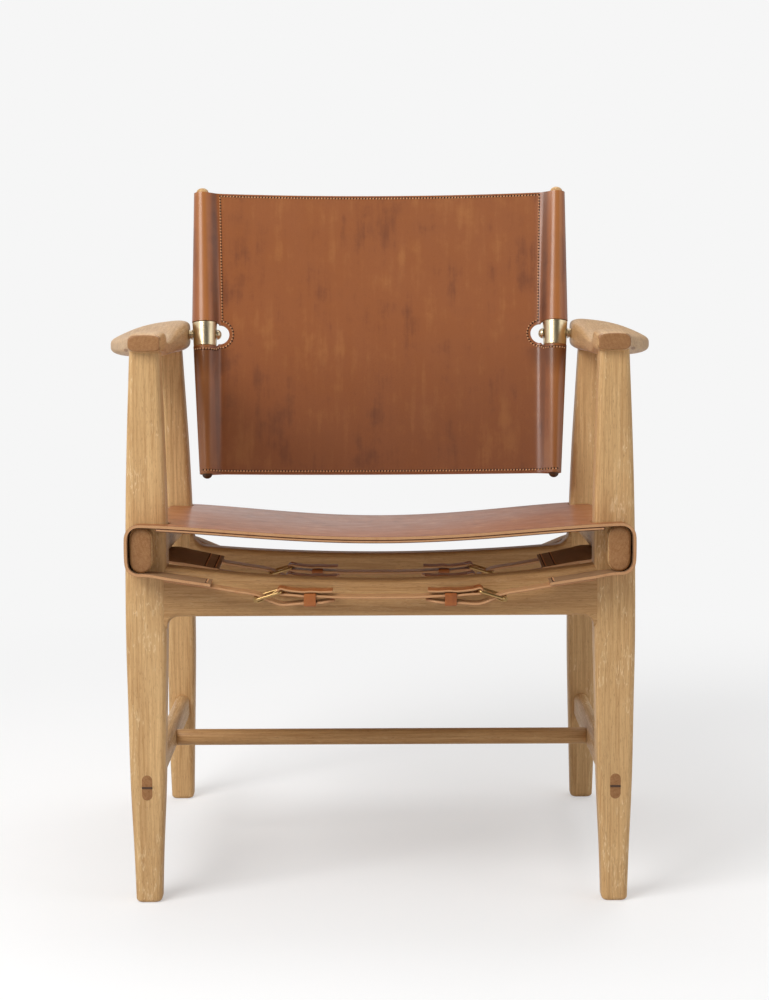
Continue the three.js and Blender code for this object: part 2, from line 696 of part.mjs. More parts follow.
// Points either side of a line, half a thickness away along its normal.
function offsetPoint(line, k, half) {
  const [before, after] = [line[Math.max(0, k - 1)], line[Math.min(line.length - 1, k + 1)]];
  const run = Math.hypot(after[0] - before[0], after[1] - before[1]);
  const normal = [-(after[1] - before[1]) / run, (after[0] - before[0]) / run];
  return [line[k][0] + normal[0] * half, line[k][1] + normal[1] * half];
}

function slingGeometry() {
  const rows = 2 * lineCount - 1;
  const middle = lineCount - 1;
  const pointsAt = (i, j) => {
    const step = Math.abs(i - middle);
    const side = i < middle ? -1 : 1;
    const y = flapDepth(j, step);
    const half = slingLine(y, bandOf(j));
    const mirrored = half.slice(1).map(([x, z]) => [-x, z]).reverse();
    const line = [...mirrored, ...half];
    const k = side * step + middle;
    return [1, -1].map((face) => {
      const [x, z] = offsetPoint(line, k, (face * SLING_THICKNESS) / 2);
      return new THREE.Vector3(x, y, z);
    });
  };
  const frontNotch = overCount;
  const rearNotch = overCount + 1;
  const keep = (i, j) => {
    const step = Math.min(Math.abs(i - middle), Math.abs(i + 1 - middle));
    if (bandOf(j) === 0 && bandOf(j + 1) === 1) return step < frontNotch;
    if (bandOf(j) === 1 && bandOf(j + 1) === 2) return step < rearNotch;
    return true;
  };
  return plate(rows, gridDepths.length, pointsAt, keep);
}

function liningGeometry() {
  const edge = Math.min(REAR_NOTCH_X, railAt(SEAT_FRONT_Y).x - railAt(SEAT_FRONT_Y).half - LINING_EDGE);
  const half = [...overShares.map((share) => share * RAIL_X), FRONT_NOTCH_X, edge];
  const xs = [...half.slice(1).map((x) => -x).reverse(), ...half];
  const middle = half.length - 1;
  const drop = SLING_THICKNESS / 2 + FIT;
  const pointsAt = (i, j) => {
    const z = seatHeight(xs[i], gridDepths[j]) - drop;
    return [
      new THREE.Vector3(xs[i], gridDepths[j], z),
      new THREE.Vector3(xs[i], gridDepths[j], z - LINING_THICKNESS),
    ];
  };
  const keep = (i, j) => {
    const step = Math.min(Math.abs(i - middle), Math.abs(i + 1 - middle));
    return !(bandOf(j) === 0 && bandOf(j + 1) === 1) || step < half.length - 2;
  };
  return plate(xs.length, gridDepths.length, pointsAt, keep);
}

// Straps and buckles. A row is drawn about its flap's end: x out, y across the strap, z up.

// A flat strap along points (x, z), with a half width at each point.
function strap(points, halfWidths, thickness) {
  const rings = points.map((_, k) => {
    const [upper, lower] = [1, -1].map((face) => offsetPoint(points, k, (face * thickness) / 2));
    return [[upper, 1], [upper, -1], [lower, -1], [lower, 1]].map(
      ([p, side]) => new THREE.Vector3(p[0], side * halfWidths[k], p[1]),
    );
  });
  return solidOf(loft(rings));
}

// Even points along a smooth line through a few places.
function smoothLine(through, count) {
  const curve = new THREE.CatmullRomCurve3(through.map(([x, z]) => new THREE.Vector3(x, 0, z)));
  return curve.getSpacedPoints(count).map((p) => [p.x, p.z]);
}

const rollerZ = -ROLLER_DROP;
const heelZ = rollerZ + HEEL_RISE;
const wrapRadius = WIRE_RADIUS + FIT + STRAP_THICKNESS / 2;
const keeperOuter = KEEPER_X + KEEPER_LENGTH / 2;
const keeperInner = KEEPER_X - KEEPER_LENGTH / 2;
// Heights of the layers where the keeper holds them together
const layerGap = FIT + STRAP_THICKNESS / 2;
const chapeTopZ = -KEEPER_TOP_DROP + layerGap;
const chapeLowZ = -KEEPER_TOP_DROP - KEEPER_WALL - layerGap;
const billetZ = -KEEPER_TOP_DROP - KEEPER_HEIGHT + KEEPER_WALL + layerGap;

// Under the flap, over the roller, down through the frame, through the keeper, to a pointed tip.
function billetStrap(band) {
  const under = SLING_THICKNESS / 2 + FIT + STRAP_THICKNESS / 2;
  const rootX = railAt(bandRows[band]).x;
  const drop = flapDrops[band];
  const rootZ = drop - flapDrop(STRAP_ROOT_X, rootX, drop) - under;
  const endX = band === 1 ? MIDDLE_FLAP_END_X : FLAP_END_X;
  const endZ = drop - flapDrop(endX, rootX, drop) - under;
  const overRoller = rollerZ + ROLLER_RADIUS + RUNNING_GAP + STRAP_THICKNESS / 2;
  const frameMiddle = (ROLLER_X + HEEL_X) / 2;
  const free = smoothLine(
    [
      [endX, endZ],
      [(endX + ROLLER_X) / 2, (endZ + overRoller) / 2],
      [ROLLER_X, overRoller],
      [frameMiddle, (overRoller + billetZ) / 2 - STRAP_THICKNESS / 2],
      [HEEL_X, billetZ - STRAP_THICKNESS / 2],
      [keeperOuter, billetZ],
      [keeperInner, billetZ],
      [TIP_X, billetZ + STRAP_THICKNESS],
    ],
    18,
  );
  const line = [[STRAP_ROOT_X, rootZ], ...free];
  const widths = line.map(([x]) =>
    STRAP_HALF * Math.min(1, TIP_SHARE + (1 - TIP_SHARE) * Math.sqrt(Math.max(0, x - TIP_X) / TIP_LENGTH)),
  );
  return strap(line, widths, STRAP_THICKNESS);
}

// One strap between two buckles, folded over each heel bar, with its ends lying back on top.
function centreStrap() {
  const fold = places(Math.PI / 2, -Math.PI / 2, 6).map((angle) => [
    HEEL_X + wrapRadius * Math.cos(angle),
    heelZ + wrapRadius * Math.sin(angle),
  ]);
  const [nearFold, farFold] = foldLeadShares.map((share) => share * (HEEL_X - keeperOuter));
  const half = [
    [CHAPE_END_X, chapeTopZ],
    [keeperInner, chapeTopZ],
    [keeperOuter, chapeTopZ],
    [HEEL_X - nearFold, (heelZ + wrapRadius + chapeTopZ) / 2],
    ...fold,
    [HEEL_X - farFold, (heelZ - wrapRadius + chapeLowZ) / 2],
    [keeperOuter, chapeLowZ],
    [keeperInner, chapeLowZ],
    [CENTRE_EASE_SHARE * KEEPER_X, (chapeLowZ - CENTRE_DROP) / 2],
  ];
  const line = [...half, ...half.map(([x, z]) => [-x, z]).reverse()];
  const full = strap(line, line.map(() => STRAP_HALF), STRAP_THICKNESS);
  const slot = (side) => {
    const cutter = new THREE.BoxGeometry(2 * CHAPE_SLOT_REACH, CHAPE_SLOT, 2 * OVERRUN);
    return solidOf(cutter.translate(side * HEEL_X, 0, heelZ));
  };
  return full.subtract(slot(1)).subtract(slot(-1));
}

// The leather loop sewn into the fold, round the billet.
function keeperLoop() {
  const height = KEEPER_HEIGHT - KEEPER_WALL;
  const width = STRAP_WIDTH + 2 * RUNNING_GAP + KEEPER_WALL;
  const outline = (grow) => roundRect(width + grow, height + grow, KEEPER_WALL + grow / 2);
  const shape = new THREE.Shape(outline(KEEPER_WALL));
  shape.holes.push(new THREE.Path(outline(-KEEPER_WALL)));
  const loop = new THREE.ExtrudeGeometry(shape, { depth: KEEPER_LENGTH, bevelEnabled: false });
  loop.rotateX(Math.PI / 2).rotateZ(Math.PI / 2);
  return loop.translate(keeperInner, 0, -KEEPER_TOP_DROP - KEEPER_HEIGHT / 2);
}

// A round wire along points, open or closed on itself.
function wire(points, radius, sides, closed) {
  const curve = new THREE.CatmullRomCurve3(points, closed, 'centripetal');
  const steps = closed ? points.length : 2 * points.length;
  const centres = closed ? points : curve.getSpacedPoints(steps);
  const rings = centres.map((centre, k) => {
    const count = centres.length;
    const before = closed ? centres[(k + count - 1) % count] : centres[Math.max(0, k - 1)];
    const after = closed ? centres[(k + 1) % count] : centres[Math.min(count - 1, k + 1)];
    const along = after.clone().sub(before).normalize();
    const up = closed ? new THREE.Vector3(0, 0, 1) : new THREE.Vector3(0, 1, 0);
    const side = up.clone().cross(along).normalize();
    const top = along.clone().cross(side);
    return Array.from({ length: sides }, (_, i) => {
      const angle = (2 * Math.PI * i) / sides;
      return centre.clone()
        .addScaledVector(side, radius * Math.cos(angle))
        .addScaledVector(top, radius * Math.sin(angle));
    });
  });
  if (!closed) return loft(rings);
  const triangles = [];
  rings.forEach((_, k) => {
    const next = ((k + 1) % rings.length) * sides;
    for (let i = 0; i < sides; i++) {
      const [a, b] = [k * sides + i, k * sides + ((i + 1) % sides)];
      const [c, d] = [next + ((i + 1) % sides), next + i];
      triangles.push(a, b, c, a, c, d);
    }
  });
  return closedSurface(rings.flat(), triangles);
}

// The buckle's wire frame between the roller's bar and the heel bar, with its roller.
function buckleFrame() {
  const length = Math.hypot(ROLLER_X - HEEL_X, HEEL_RISE);
  const width = STRAP_WIDTH + 2 * (BUCKLE_SLACK + WIRE_RADIUS);
  const ring = roundRect(length, width, BUCKLE_CORNER).map((p) => new THREE.Vector3(p.x, p.y, 0));
  const frame = wire(ring, WIRE_RADIUS, 6, true);
  frame.rotateY(Math.atan2(HEEL_RISE, ROLLER_X - HEEL_X));
  frame.translate((ROLLER_X + HEEL_X) / 2, 0, (rollerZ + heelZ) / 2);
  const half = STRAP_HALF + BUCKLE_SLACK - FIT;
  const roller = turned([[0, -half], [ROLLER_RADIUS, -half], [ROLLER_RADIUS, half], [0, half]], 14);
  roller.rotateX(Math.PI / 2).translate(ROLLER_X, 0, rollerZ);
  return solidOf(frame).add(solidOf(roller));
}

// The prong: hooked over the heel bar, through the billet, to rest under the roller.
function prong(grow) {
  const hook = WIRE_RADIUS + FIT + PRONG_RADIUS;
  const around = [210, 150, 90, 35].map((degrees) => {
    const angle = THREE.MathUtils.degToRad(degrees);
    return new THREE.Vector3(HEEL_X + hook * Math.cos(angle), 0, heelZ + hook * Math.sin(angle));
  });
  const under = rollerZ - ROLLER_RADIUS - FIT - PRONG_RADIUS;
  const middle = THREE.MathUtils.lerp(heelZ, under, PRONG_BEND_SHARE);
  const points = [
    ...around,
    new THREE.Vector3((ROLLER_X + HEEL_X) / 2, 0, middle),
    new THREE.Vector3(ROLLER_X - ROLLER_RADIUS, 0, under),
    new THREE.Vector3(ROLLER_X + ROLLER_RADIUS, 0, under),
  ];
  return solidOf(wire(points, PRONG_RADIUS + grow, 6, false));
}

// Back

const noseSteps = 3;
// Radius of an upright at a height above the pivot.
function uprightRadius(height) {
  const half = COLLAR_HEIGHT / 2;
  if (height > half) {
    const share = (height - half) / (UPRIGHT_TOP - half);
    return THREE.MathUtils.lerp(UPRIGHT_MID_RADIUS, UPRIGHT_TOP_RADIUS, share);
  }
  if (height > -half) {
    return THREE.MathUtils.lerp(UPRIGHT_LOW_RADIUS, UPRIGHT_MID_RADIUS, (height + half) / COLLAR_HEIGHT);
  }
  const share = (-half - height) / (UPRIGHT_BOTTOM - half);
  return THREE.MathUtils.lerp(UPRIGHT_LOW_RADIUS, UPRIGHT_BOTTOM_RADIUS, share);
}

// Lean a piece drawn about an upright's axis into the back's plane.
function ontoUpright(geometry) {
  return geometry.rotateY(UPRIGHT_LEAN).translate(UPRIGHT_X, 0, 0);
}

// A tapered rod about the upright's axis between two heights, GROW larger than the wood.
function uprightRod(from, to, grow) {
  const heights = [from, -COLLAR_HEIGHT / 2, COLLAR_HEIGHT / 2, to].filter(
    (height, k, all) => k === 0 || k === 3 || (height > all[0] && height < all[3]),
  );
  const profile = heights.map((height) => [uprightRadius(height) + grow, height]);
  return solidOf(ontoUpright(turned([[0, from], ...profile, [0, to]], 18)));
}

function uprightGeometry() {
  const profile = [];
  for (let i = 0; i <= noseSteps; i++) {
    const angle = (i * Math.PI) / 2 / noseSteps;
    const height = -UPRIGHT_BOTTOM + DOME_HEIGHT * (1 - Math.cos(angle));
    profile.push([UPRIGHT_BOTTOM_RADIUS * Math.sin(angle), height]);
  }
  profile.push([UPRIGHT_LOW_RADIUS, -COLLAR_HEIGHT / 2], [UPRIGHT_MID_RADIUS, COLLAR_HEIGHT / 2]);
  for (let i = noseSteps; i >= 0; i--) {
    const angle = (i * Math.PI) / 2 / noseSteps;
    const height = UPRIGHT_TOP - DOME_HEIGHT * (1 - Math.cos(angle));
    profile.push([UPRIGHT_TOP_RADIUS * Math.sin(angle), height]);
  }
  return ontoUpright(turned(profile, 18));
}

// The cross hole that the pivot bolt runs through, in the back's own frame.
function boltHole() {
  const radius = BOLT_RADIUS + FIT;
  const hole = turned([[0, -OVERRUN], [radius, -OVERRUN], [radius, OVERRUN], [0, OVERRUN]], 14);
  return solidOf(hole.rotateY(Math.PI / 2).translate(UPRIGHT_X, 0, 0));
}

function collarGeometry() {
  const half = COLLAR_HEIGHT / 2;
  const wall = FIT + COLLAR_WALL;
  const outer = [[uprightRadius(-half) + wall, -half], [uprightRadius(half) + wall, half]];
  return ontoUpright(turnedTube(outer, uprightRadius(-half) + FIT, uprightRadius(half) + FIT, 18));
}

// The opening in the leather beside a collar: square over the sleeve, round at its inner end.
function eyeCutter() {
  const shape = new THREE.Shape();
  const start = EYE_X + EYE_RADIUS;
  shape.moveTo(start, -EYE_RADIUS);
  shape.absarc(start, 0, EYE_RADIUS, -Math.PI / 2, Math.PI / 2, true);
  shape.lineTo(start, NOTCH_HEIGHT / 2);
  shape.lineTo(UPRIGHT_X + 2 * OVERRUN, NOTCH_HEIGHT / 2);
  shape.lineTo(UPRIGHT_X + 2 * OVERRUN, -NOTCH_HEIGHT / 2);
  shape.lineTo(start, -NOTCH_HEIGHT / 2);
  const cutter = new THREE.ExtrudeGeometry(shape, {
    depth: 4 * OVERRUN,
    bevelEnabled: false,
    curveSegments: 10,
  });
  return solidOf(cutter.rotateX(Math.PI / 2).translate(0, 2 * OVERRUN, 0));
}

// Middle surface of the back's leather between its sleeves.
function backPoint(x, height) {
  const share = Math.min(1, Math.abs(x) / UPRIGHT_X);
  return BACK_BOW * (1 - share * share);
}

function backLeather() {
  const xs = places(-1, 1, 14).map((share) => share * UPRIGHT_X);
  const heights = places(-BACK_LEATHER_BOTTOM, BACK_LEATHER_TOP, 4);
  const panel = plate(
    xs.length,
    heights.length,
    (i, j) => {
      const share = xs[i] / UPRIGHT_X;
      const dip = j === heights.length - 1 ? BACK_TOP_DIP * (1 - share * share) : 0;
      const lean = share * (heights[j] - dip) * Math.tan(UPRIGHT_LEAN);
      return [1, -1].map(
        (face) =>
          new THREE.Vector3(
            xs[i] + lean,
            backPoint(xs[i], heights[j]) - (face * BACK_PANEL) / 2,
            heights[j] - dip,
          ),
      );
    },
    () => true,
  );
  let leather = solidOf(panel);
  const sleeve = uprightRod(-BACK_LEATHER_BOTTOM, BACK_LEATHER_TOP, FIT + BACK_LEATHER_THICKNESS);
  const bore = uprightRod(-UPRIGHT_BOTTOM - OVERRUN, UPRIGHT_TOP + OVERRUN, FIT);
  const eye = eyeCutter();
  leather = leather.add(sleeve).add(mirrored(sleeve));
  leather = leather.subtract(bore).subtract(mirrored(bore));
  return leather.subtract(eye).subtract(mirrored(eye));
}

// The same solid on the other side of the centre plane.
function mirrored(solid) {
  const geometry = geometryOf(solid).scale(-1, 1, 1);
  const { array } = geometry.attributes.position;
  for (let k = 0; k < array.length; k += 9) {
    for (let n = 0; n < 3; n++) {
      [array[k + 3 + n], array[k + 6 + n]] = [array[k + 6 + n], array[k + 3 + n]];
    }
  }
  return solidOf(geometry);
}

// Pivot hardware on the right, about the pivot's axis: x runs out towards the arm.
const collarReach = uprightRadius(0) + FIT + COLLAR_WALL;
const headFace = UPRIGHT_X - collarReach - RUNNING_GAP;
const washerStart = UPRIGHT_X + collarReach + RUNNING_GAP;
const washerEnd = armFaceX - FIT;

function boltGeometry() {
  const profile = [];
  for (let i = 0; i <= noseSteps; i++) {
    const angle = (i * Math.PI) / 2 / noseSteps;
    const place = headFace - BOLT_HEAD_HEIGHT * Math.cos(angle);
    profile.push([BOLT_HEAD_RADIUS * Math.sin(angle), place]);
  }
  const end = armFaceX + BOLT_GRIP;
  profile.push([BOLT_RADIUS, headFace], [BOLT_RADIUS, end - BOLT_EDGE], [BOLT_RADIUS - BOLT_EDGE, end], [0, end]);
  return turned(profile, 16).rotateY(Math.PI / 2).translate(0, PIVOT_Y, PIVOT_Z);
}

function armBore() {
  const radius = BOLT_RADIUS + FIT;
  const start = armFaceX - OVERRUN;
  const end = armFaceX + BOLT_GRIP + FIT;
  const bore = turned([[0, start], [radius, start], [radius, end], [0, end]], 16);
  return solidOf(bore.rotateY(Math.PI / 2).translate(0, PIVOT_Y, PIVOT_Z));
}

// Three washers in one stack on the bolt, the middle one smaller.
function spacerGeometry() {
  const third = (washerEnd - washerStart) / 3;
  const [a, b] = [washerStart + third, washerEnd - third];
  const outline = [
    [0, washerStart], [WASHER_RADIUS, washerStart], [WASHER_RADIUS, a], [WASHER_WAIST, a],
    [WASHER_WAIST, b], [WASHER_RADIUS, b], [WASHER_RADIUS, washerEnd], [0, washerEnd],
  ];
  return turned(outline, 16).rotateY(Math.PI / 2).translate(0, PIVOT_Y, PIVOT_Z);
}

// Putting the chair together

const chair = new THREE.Group();

function addMesh(parent, name, geometry, material) {
  const mesh = new THREE.Mesh(geometry, material);
  mesh.name = name;
  parent.add(mesh);
  return mesh;
}

// A piece drawn on the right, and its mirror image on the left.
function addPair(parent, name, geometry, material) {
  addMesh(parent, `${name}_right`, geometry, material);
  addMesh(parent, `${name}_left`, geometry, material).scale.x = -1;
}

// Frame
const rail = railShell(0);
const railHole = railShell(FIT);
const frontTenon = apronTenon(frontApron, 0);
const rearTenon = apronTenon(rearApron, 0);
const throughTenon = stretcherTenon(0);
const throughHole = stretcherTenon(FIT);
const frontLegSolid = legShell(frontLeg, 0)
  .add(armPeg(frontLeg, 0))
  .subtract(railHole)
  .subtract(apronTenon(frontApron, FIT))
  .subtract(throughHole);
const rearLegSolid = legShell(rearLeg, 0)
  .add(armPeg(rearLeg, 0))
  .subtract(railHole)
  .subtract(apronTenon(rearApron, FIT))
  .subtract(throughHole);
addPair(chair, 'front_leg', geometryOf(frontLegSolid), OAK);
addPair(chair, 'rear_leg', geometryOf(rearLegSolid), OAK);
addPair(chair, 'seat_rail', geometryOf(rail), OAK);

function apronSolid(apron, tenon) {
  const leg = legShell(apron.leg, FIT);
  return apronBar(apron).subtract(leg).subtract(mirrored(leg)).add(tenon).add(mirrored(tenon));
}
addMesh(chair, 'front_apron', geometryOf(apronSolid(frontApron, frontTenon)), OAK);
addMesh(chair, 'rear_apron', geometryOf(apronSolid(rearApron, rearTenon)), OAK);

const sideStretcher = stretcherBar(LEG_EDGE, REAR_LEG_Y + LEG_EDGE, STRETCHER_THICKNESS, STRETCHER_HEIGHT)
  .subtract(legShell(frontLeg, FIT))
  .subtract(legShell(rearLeg, FIT))
  .add(throughTenon)
  .subtract(tenonWedge(FIT))
  .subtract(crossBar(FIT));
addPair(chair, 'side_stretcher', geometryOf(sideStretcher), OAK);
addPair(chair, 'tenon_wedge', geometryOf(tenonWedge(0)), WEDGE_WOOD);
addMesh(chair, 'cross_stretcher', geometryOf(crossBar(0)), OAK);

const arm = armShell()
  .subtract(legShell(frontLeg, FIT))
  .subtract(legShell(rearLeg, FIT))
  .subtract(armPeg(frontLeg, FIT))
  .subtract(armPeg(rearLeg, FIT))
  .subtract(armBore());
addPair(chair, 'armrest', geometryOf(arm), OAK);

// Seat
addMesh(chair, 'seat_sling', slingGeometry(), LEATHER);
addMesh(chair, 'seat_lining', liningGeometry(), LEATHER);

const centre = geometryOf(centreStrap());
const keeper = keeperLoop();
const buckle = geometryOf(buckleFrame());
const tongue = geometryOf(prong(0));
const billets = bandRows.map((_, band) => geometryOf(billetStrap(band).subtract(prong(FIT))));
const rows = [
  ['front', FRONT_ROW_Y, 0],
  ['mid_front', MIDDLE_FLAP_Y - MIDDLE_SPACING / 2, 1],
  ['mid_rear', MIDDLE_FLAP_Y + MIDDLE_SPACING / 2, 1],
  ['rear', REAR_ROW_Y, 2],
];
rows.forEach(([row, y, band]) => {
  const group = new THREE.Group();
  group.position.set(0, y, flapRootZ(bandRows[band]) - flapDrops[band]);
  addMesh(group, `${row}_centre_strap`, centre, LEATHER);
  addPair(group, `${row}_billet_strap`, billets[band], LEATHER);
  addPair(group, `${row}_strap_keeper`, keeper, LEATHER);
  addPair(group, `${row}_buckle_frame`, buckle, BRASS);
  addPair(group, `${row}_buckle_prong`, tongue, BRASS);
  chair.add(group);
});

// Back
const back = new THREE.Group();
back.position.set(0, PIVOT_Y, PIVOT_Z);
back.rotation.x = -BACK_TILT;
const upright = solidOf(uprightGeometry()).subtract(boltHole());
const collar = solidOf(collarGeometry()).subtract(boltHole());
addPair(back, 'back_upright', geometryOf(upright), OAK);
addPair(back, 'pivot_collar', geometryOf(collar), BRASS);
addMesh(back, 'back_leather', geometryOf(backLeather()), LEATHER);
chair.add(back);
const bolt = solidOf(boltGeometry()).add(solidOf(spacerGeometry()));
addPair(chair, 'pivot_bolt', geometryOf(bolt), BRASS);

// The origin is on the floor under the middle of the chair's box.
const box = new THREE.Box3().setFromObject(chair, true);
chair.position.set(0, -(box.min.y + box.max.y) / 2, -box.min.z);

const group = new THREE.Group();
group.add(chair);

export default group;
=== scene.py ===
"""Leather sling lounge chair: oak frame, saddle leather seat and back, brass fittings.

Every shape is worked out in millimetres on the chair's own depth line, which starts at the front
face of the front legs, and is put into the scene in metres on the frame's origin.
"""
import math

import bpy
import numpy as np
from mathutils import Matrix, Vector


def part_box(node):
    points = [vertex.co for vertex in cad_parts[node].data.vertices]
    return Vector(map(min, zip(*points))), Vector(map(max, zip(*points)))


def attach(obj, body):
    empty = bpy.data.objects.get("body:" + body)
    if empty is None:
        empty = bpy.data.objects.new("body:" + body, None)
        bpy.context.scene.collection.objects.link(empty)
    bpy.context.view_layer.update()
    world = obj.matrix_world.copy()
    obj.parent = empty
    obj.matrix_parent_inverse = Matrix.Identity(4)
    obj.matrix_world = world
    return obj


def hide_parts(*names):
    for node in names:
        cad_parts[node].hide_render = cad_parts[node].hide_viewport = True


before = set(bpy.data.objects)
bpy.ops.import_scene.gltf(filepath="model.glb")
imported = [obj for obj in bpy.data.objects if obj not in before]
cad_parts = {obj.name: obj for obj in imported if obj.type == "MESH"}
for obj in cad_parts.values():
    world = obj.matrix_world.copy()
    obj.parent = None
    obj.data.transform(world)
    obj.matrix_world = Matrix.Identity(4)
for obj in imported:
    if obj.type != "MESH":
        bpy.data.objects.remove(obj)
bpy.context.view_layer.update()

bl_info = {
    "name": "Leather sling lounge chair",
    "version": (1, 0, 0),
    "blender": (4, 5, 0),
    "location": "View3D > Sidebar > Chair",
    "description": "Builds an oak lounge chair with a buckled leather seat and a tilting back",
    "category": "Add Mesh",
}

SHIFT_Y = float(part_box("front_leg_right")[0][1])  # scene depth of the front legs' front face
MM = 0.001
SHARP = 40  # degrees between faces, from which an edge is drawn sharp
FIT = 0.3  # between pieces that meet

# Legs: height, depth, depth of the front face, then rows of height share, inner side, outer
# side and depth
LEG_INNER, LEG_SPAN, LEG_EDGE, FOOT_ROUND = 251.5, 49.1, 7.5, 5.0
FRONT_LEG = (659.0, 46.0, 0.0, [
    (0, 0.23, 0.853, 0.7), (0.08, 0.195, 0.882, 0.74), (0.22, 0.106, 0.951, 0.81),
    (0.37, 0.059, 0.98, 0.9), (0.48, 0.02, 1, 0.96), (0.61, 0, 0.988, 1),
    (0.75, 0.01, 0.947, 0.97), (0.86, 0.045, 0.894, 0.92), (1, 0.1, 0.809, 0.82)])
REAR_LEG = (631.0, 38.0, 505.0, [
    (0, 0.263, 0.878, 0.82), (0.106, 0.232, 0.919, 0.87), (0.217, 0.198, 0.931, 0.93),
    (0.352, 0.169, 0.931, 0.98), (0.6, 0.2, 0.926, 1), (0.772, 0.275, 0.95, 0.98),
    (0.859, 0.336, 0.985, 0.96), (1, 0.438, 1.04, 0.9)])

# Rails, aprons and stretchers
RAIL_FRONT, RAIL_LENGTH, RAIL_X, RAIL_SPREAD = -30.0, 601.0, 277.75, 5.2
RAIL_WIDTHS, RAIL_HEIGHTS, RAIL_TOP, RAIL_FALL = (25.5, 19.0), (53.0, 40.0), 456.0, 50.8
RAIL_EASE = 3.0  # rounding of the rails' ends
# leg, depth of the front face, thickness, bottom, height, rise at the ends, fillet, and 1 where
# the fillet is on top
FRONT_APRON = (FRONT_LEG, 1.5, 34.0, 345.5, 42.0, 17.5, 14.0, 0)
REAR_APRON = (REAR_LEG, 506.5, 30.0, 308.0, 38.0, 12.0, 19.0, 1)
APRON_EDGE = 7.0
STRETCHER_X, STRETCHER_Z, STRETCHER_FALL = 278.0, 140.5, 10.0
STRETCHER_SECTION, TENON_SECTION = (20.0, 35.0), (13.0, 31.0)
STRETCHER_START, TENON_START, TENON_END = 31, -0.2, 540.2
WEDGE_LENGTH, WEDGE_THICK, WEDGE_TAPER = 22, 2.5, 1.5
CROSS_Y, CROSS_RADIUS, CROSS_TENON = 300.0, 10.5, 7

# Arms: along, then reach, inner edge, dip of the inner and outer top, fall of the underside
ARM_FRONT, ARM_LENGTH, ARM_X = -10.0, 595.0, 273.5
ARM_REACH, ARM_INNER, ARM_TOP, ARM_DIP, ARM_UNDER, ARM_FALL = 81.5, 21.0, 679.0, 30.0, 661.0, 34.0
ARM_POWERS, ARM_CROWN, ARM_EASE = (0.36, 0.62), 0.03, 2.2
ARM_ROWS = [
    (0, 0.215, 0.9, 0.07, 0.07, 0.05), (0.012, 0.235, 0.98, 0.02, 0.02, 0.09),
    (0.03, 0.24, 1, 0, 0, 0.14), (0.092, 0.245, 1, 0, 0.01, 0.16),
    (0.185, 0.337, 0.83, 0.13, 0.16, 0.33), (0.303, 0.534, 0.55, 0.47, 0.42, 0.55),
    (0.437, 0.742, 0.31, 0.73, 0.6, 0.7), (0.588, 0.939, 0.17, 0.83, 0.72, 0.83),
    (0.706, 1, 0.21, 0.67, 0.79, 0.92), (0.807, 0.975, 0.38, 0.46, 0.78, 0.99),
    (0.891, 0.853, 0.524, 0.36, 0.7, 1), (0.95, 0.644, 0.47, 0.38, 0.62, 0.94),
    (0.985, 0.4, 0.15, 0.44, 0.57, 0.78), (1, 0.26, -0.08, 0.54, 0.62, 0.6)]

# Seat leather
HIDE, SIDE_SLACK = 3.6, 2.6
SEAT_SAG, FRONT_SAG, REAR_SAG = 22.0, 0.69, 0.82  # at the middle, and its share at the edges
FLAP_ENDS, FLAP_DROPS, STRAP_ROOT = (197.0, 204.0, 197.0), (11.0, 14.0, 30.0), 251.0
SEAT_LINES = (-36.0, -2.0, 47.47, 503.0, 544.55, 577.0)  # edges of tabs, notches and seat
SEAT_FRONT, SEAT_REAR = SEAT_LINES[0], SEAT_LINES[-1]
FLAP_BEND = 0.25  # share of a flap's fall where its strap starts
MIDDLE_FLAP_Y, MIDDLE_SPACING = 262.0, 80.0
MIDDLE_FLAP_HALVES = (227.8, 132.0, 104.5, 75.0, 60.0, 55.0)  # from the rail to its end
FRONT_CELLS, REAR_CELLS = 59, 63  # grid cells from the middle to the front and rear notches

# Straps and buckles, about the end of their flap
STRAP_HALF, STRAP_THICK, STRAP_CORNER, EDGE_HALF = 11.0, 2.9, 1.05, 1.1
ROLLER_X, ROLLER_DROP, ROLLER_RADIUS, HEEL_X, HEEL_RISE = 144.7, 17.6, 3.2, 115.5, 8.7
WIRE, WIRE_BEND, WIRE_ROOM, ROLLER_BORE, ROLLER_ROOM = 1.7, 3.4, 1, 2.2, 0.7
PRONG, PRONG_SLOT, SLOT_REACH = 1.1, (14.0, 5.4, 2.6), 8.0
KEEPER_X, KEEPER_LENGTH, KEEPER_WALL, KEEPER_TOP, KEEPER_HEIGHT = 82.0, 14.0, 1.8, 11.0, 15.4
KEEPER_ROOM, KEEPER_EASE = 1.2, 0.6
CHAPE_END, TIP_X, TIP_LENGTH, TIP_BLUNT, CENTRE_DROP = 55.5, 53.0, 13.0, 0.12, 17.6

# Back, about its pivots
PIVOT_Y, PIVOT_Z, TILT, LEAN = 520.0, 649.0, math.radians(15), math.radians(1.3)
UPRIGHT_X, UPRIGHT_TOP, UPRIGHT_BOTTOM = 240.6, 207.0, 200.0
UPRIGHT_RADII = (6.8, 13.0, 14.2, 8.3)  # bottom, below the collar, above it, top
UPRIGHT_DOME = 6  # height of its rounded ends
COLLAR_HALF, COLLAR_WALL, COLLAR_EASE, COLLAR_LIP = 16.5, 2.4, 0.5, 0.3
PIVOT_GAP = 0.6  # between the collar and the bolt's head and washers
BOLT_HEAD, BOLT_DOME, BOLT_SHANK, BOLT_DEPTH, WASHERS = 7.0, 6.0, 4, 24, (7.0, 5.2, 7.0)
LEATHER_TOP, LEATHER_BOTTOM, BACK_LAYER, BACK_DIP, BACK_BOW = 200.2, 194.6, 3.0, 2.4, 10.0
SEAM_INSET, NOTCH_HALF, EYE_RADIUS, EYE_START = 21.5, 17.1, 13.8, 220.8
EYE_BEND, EYE_REACH, EYE_DEPTH = 15.6, 300.0, 40.0
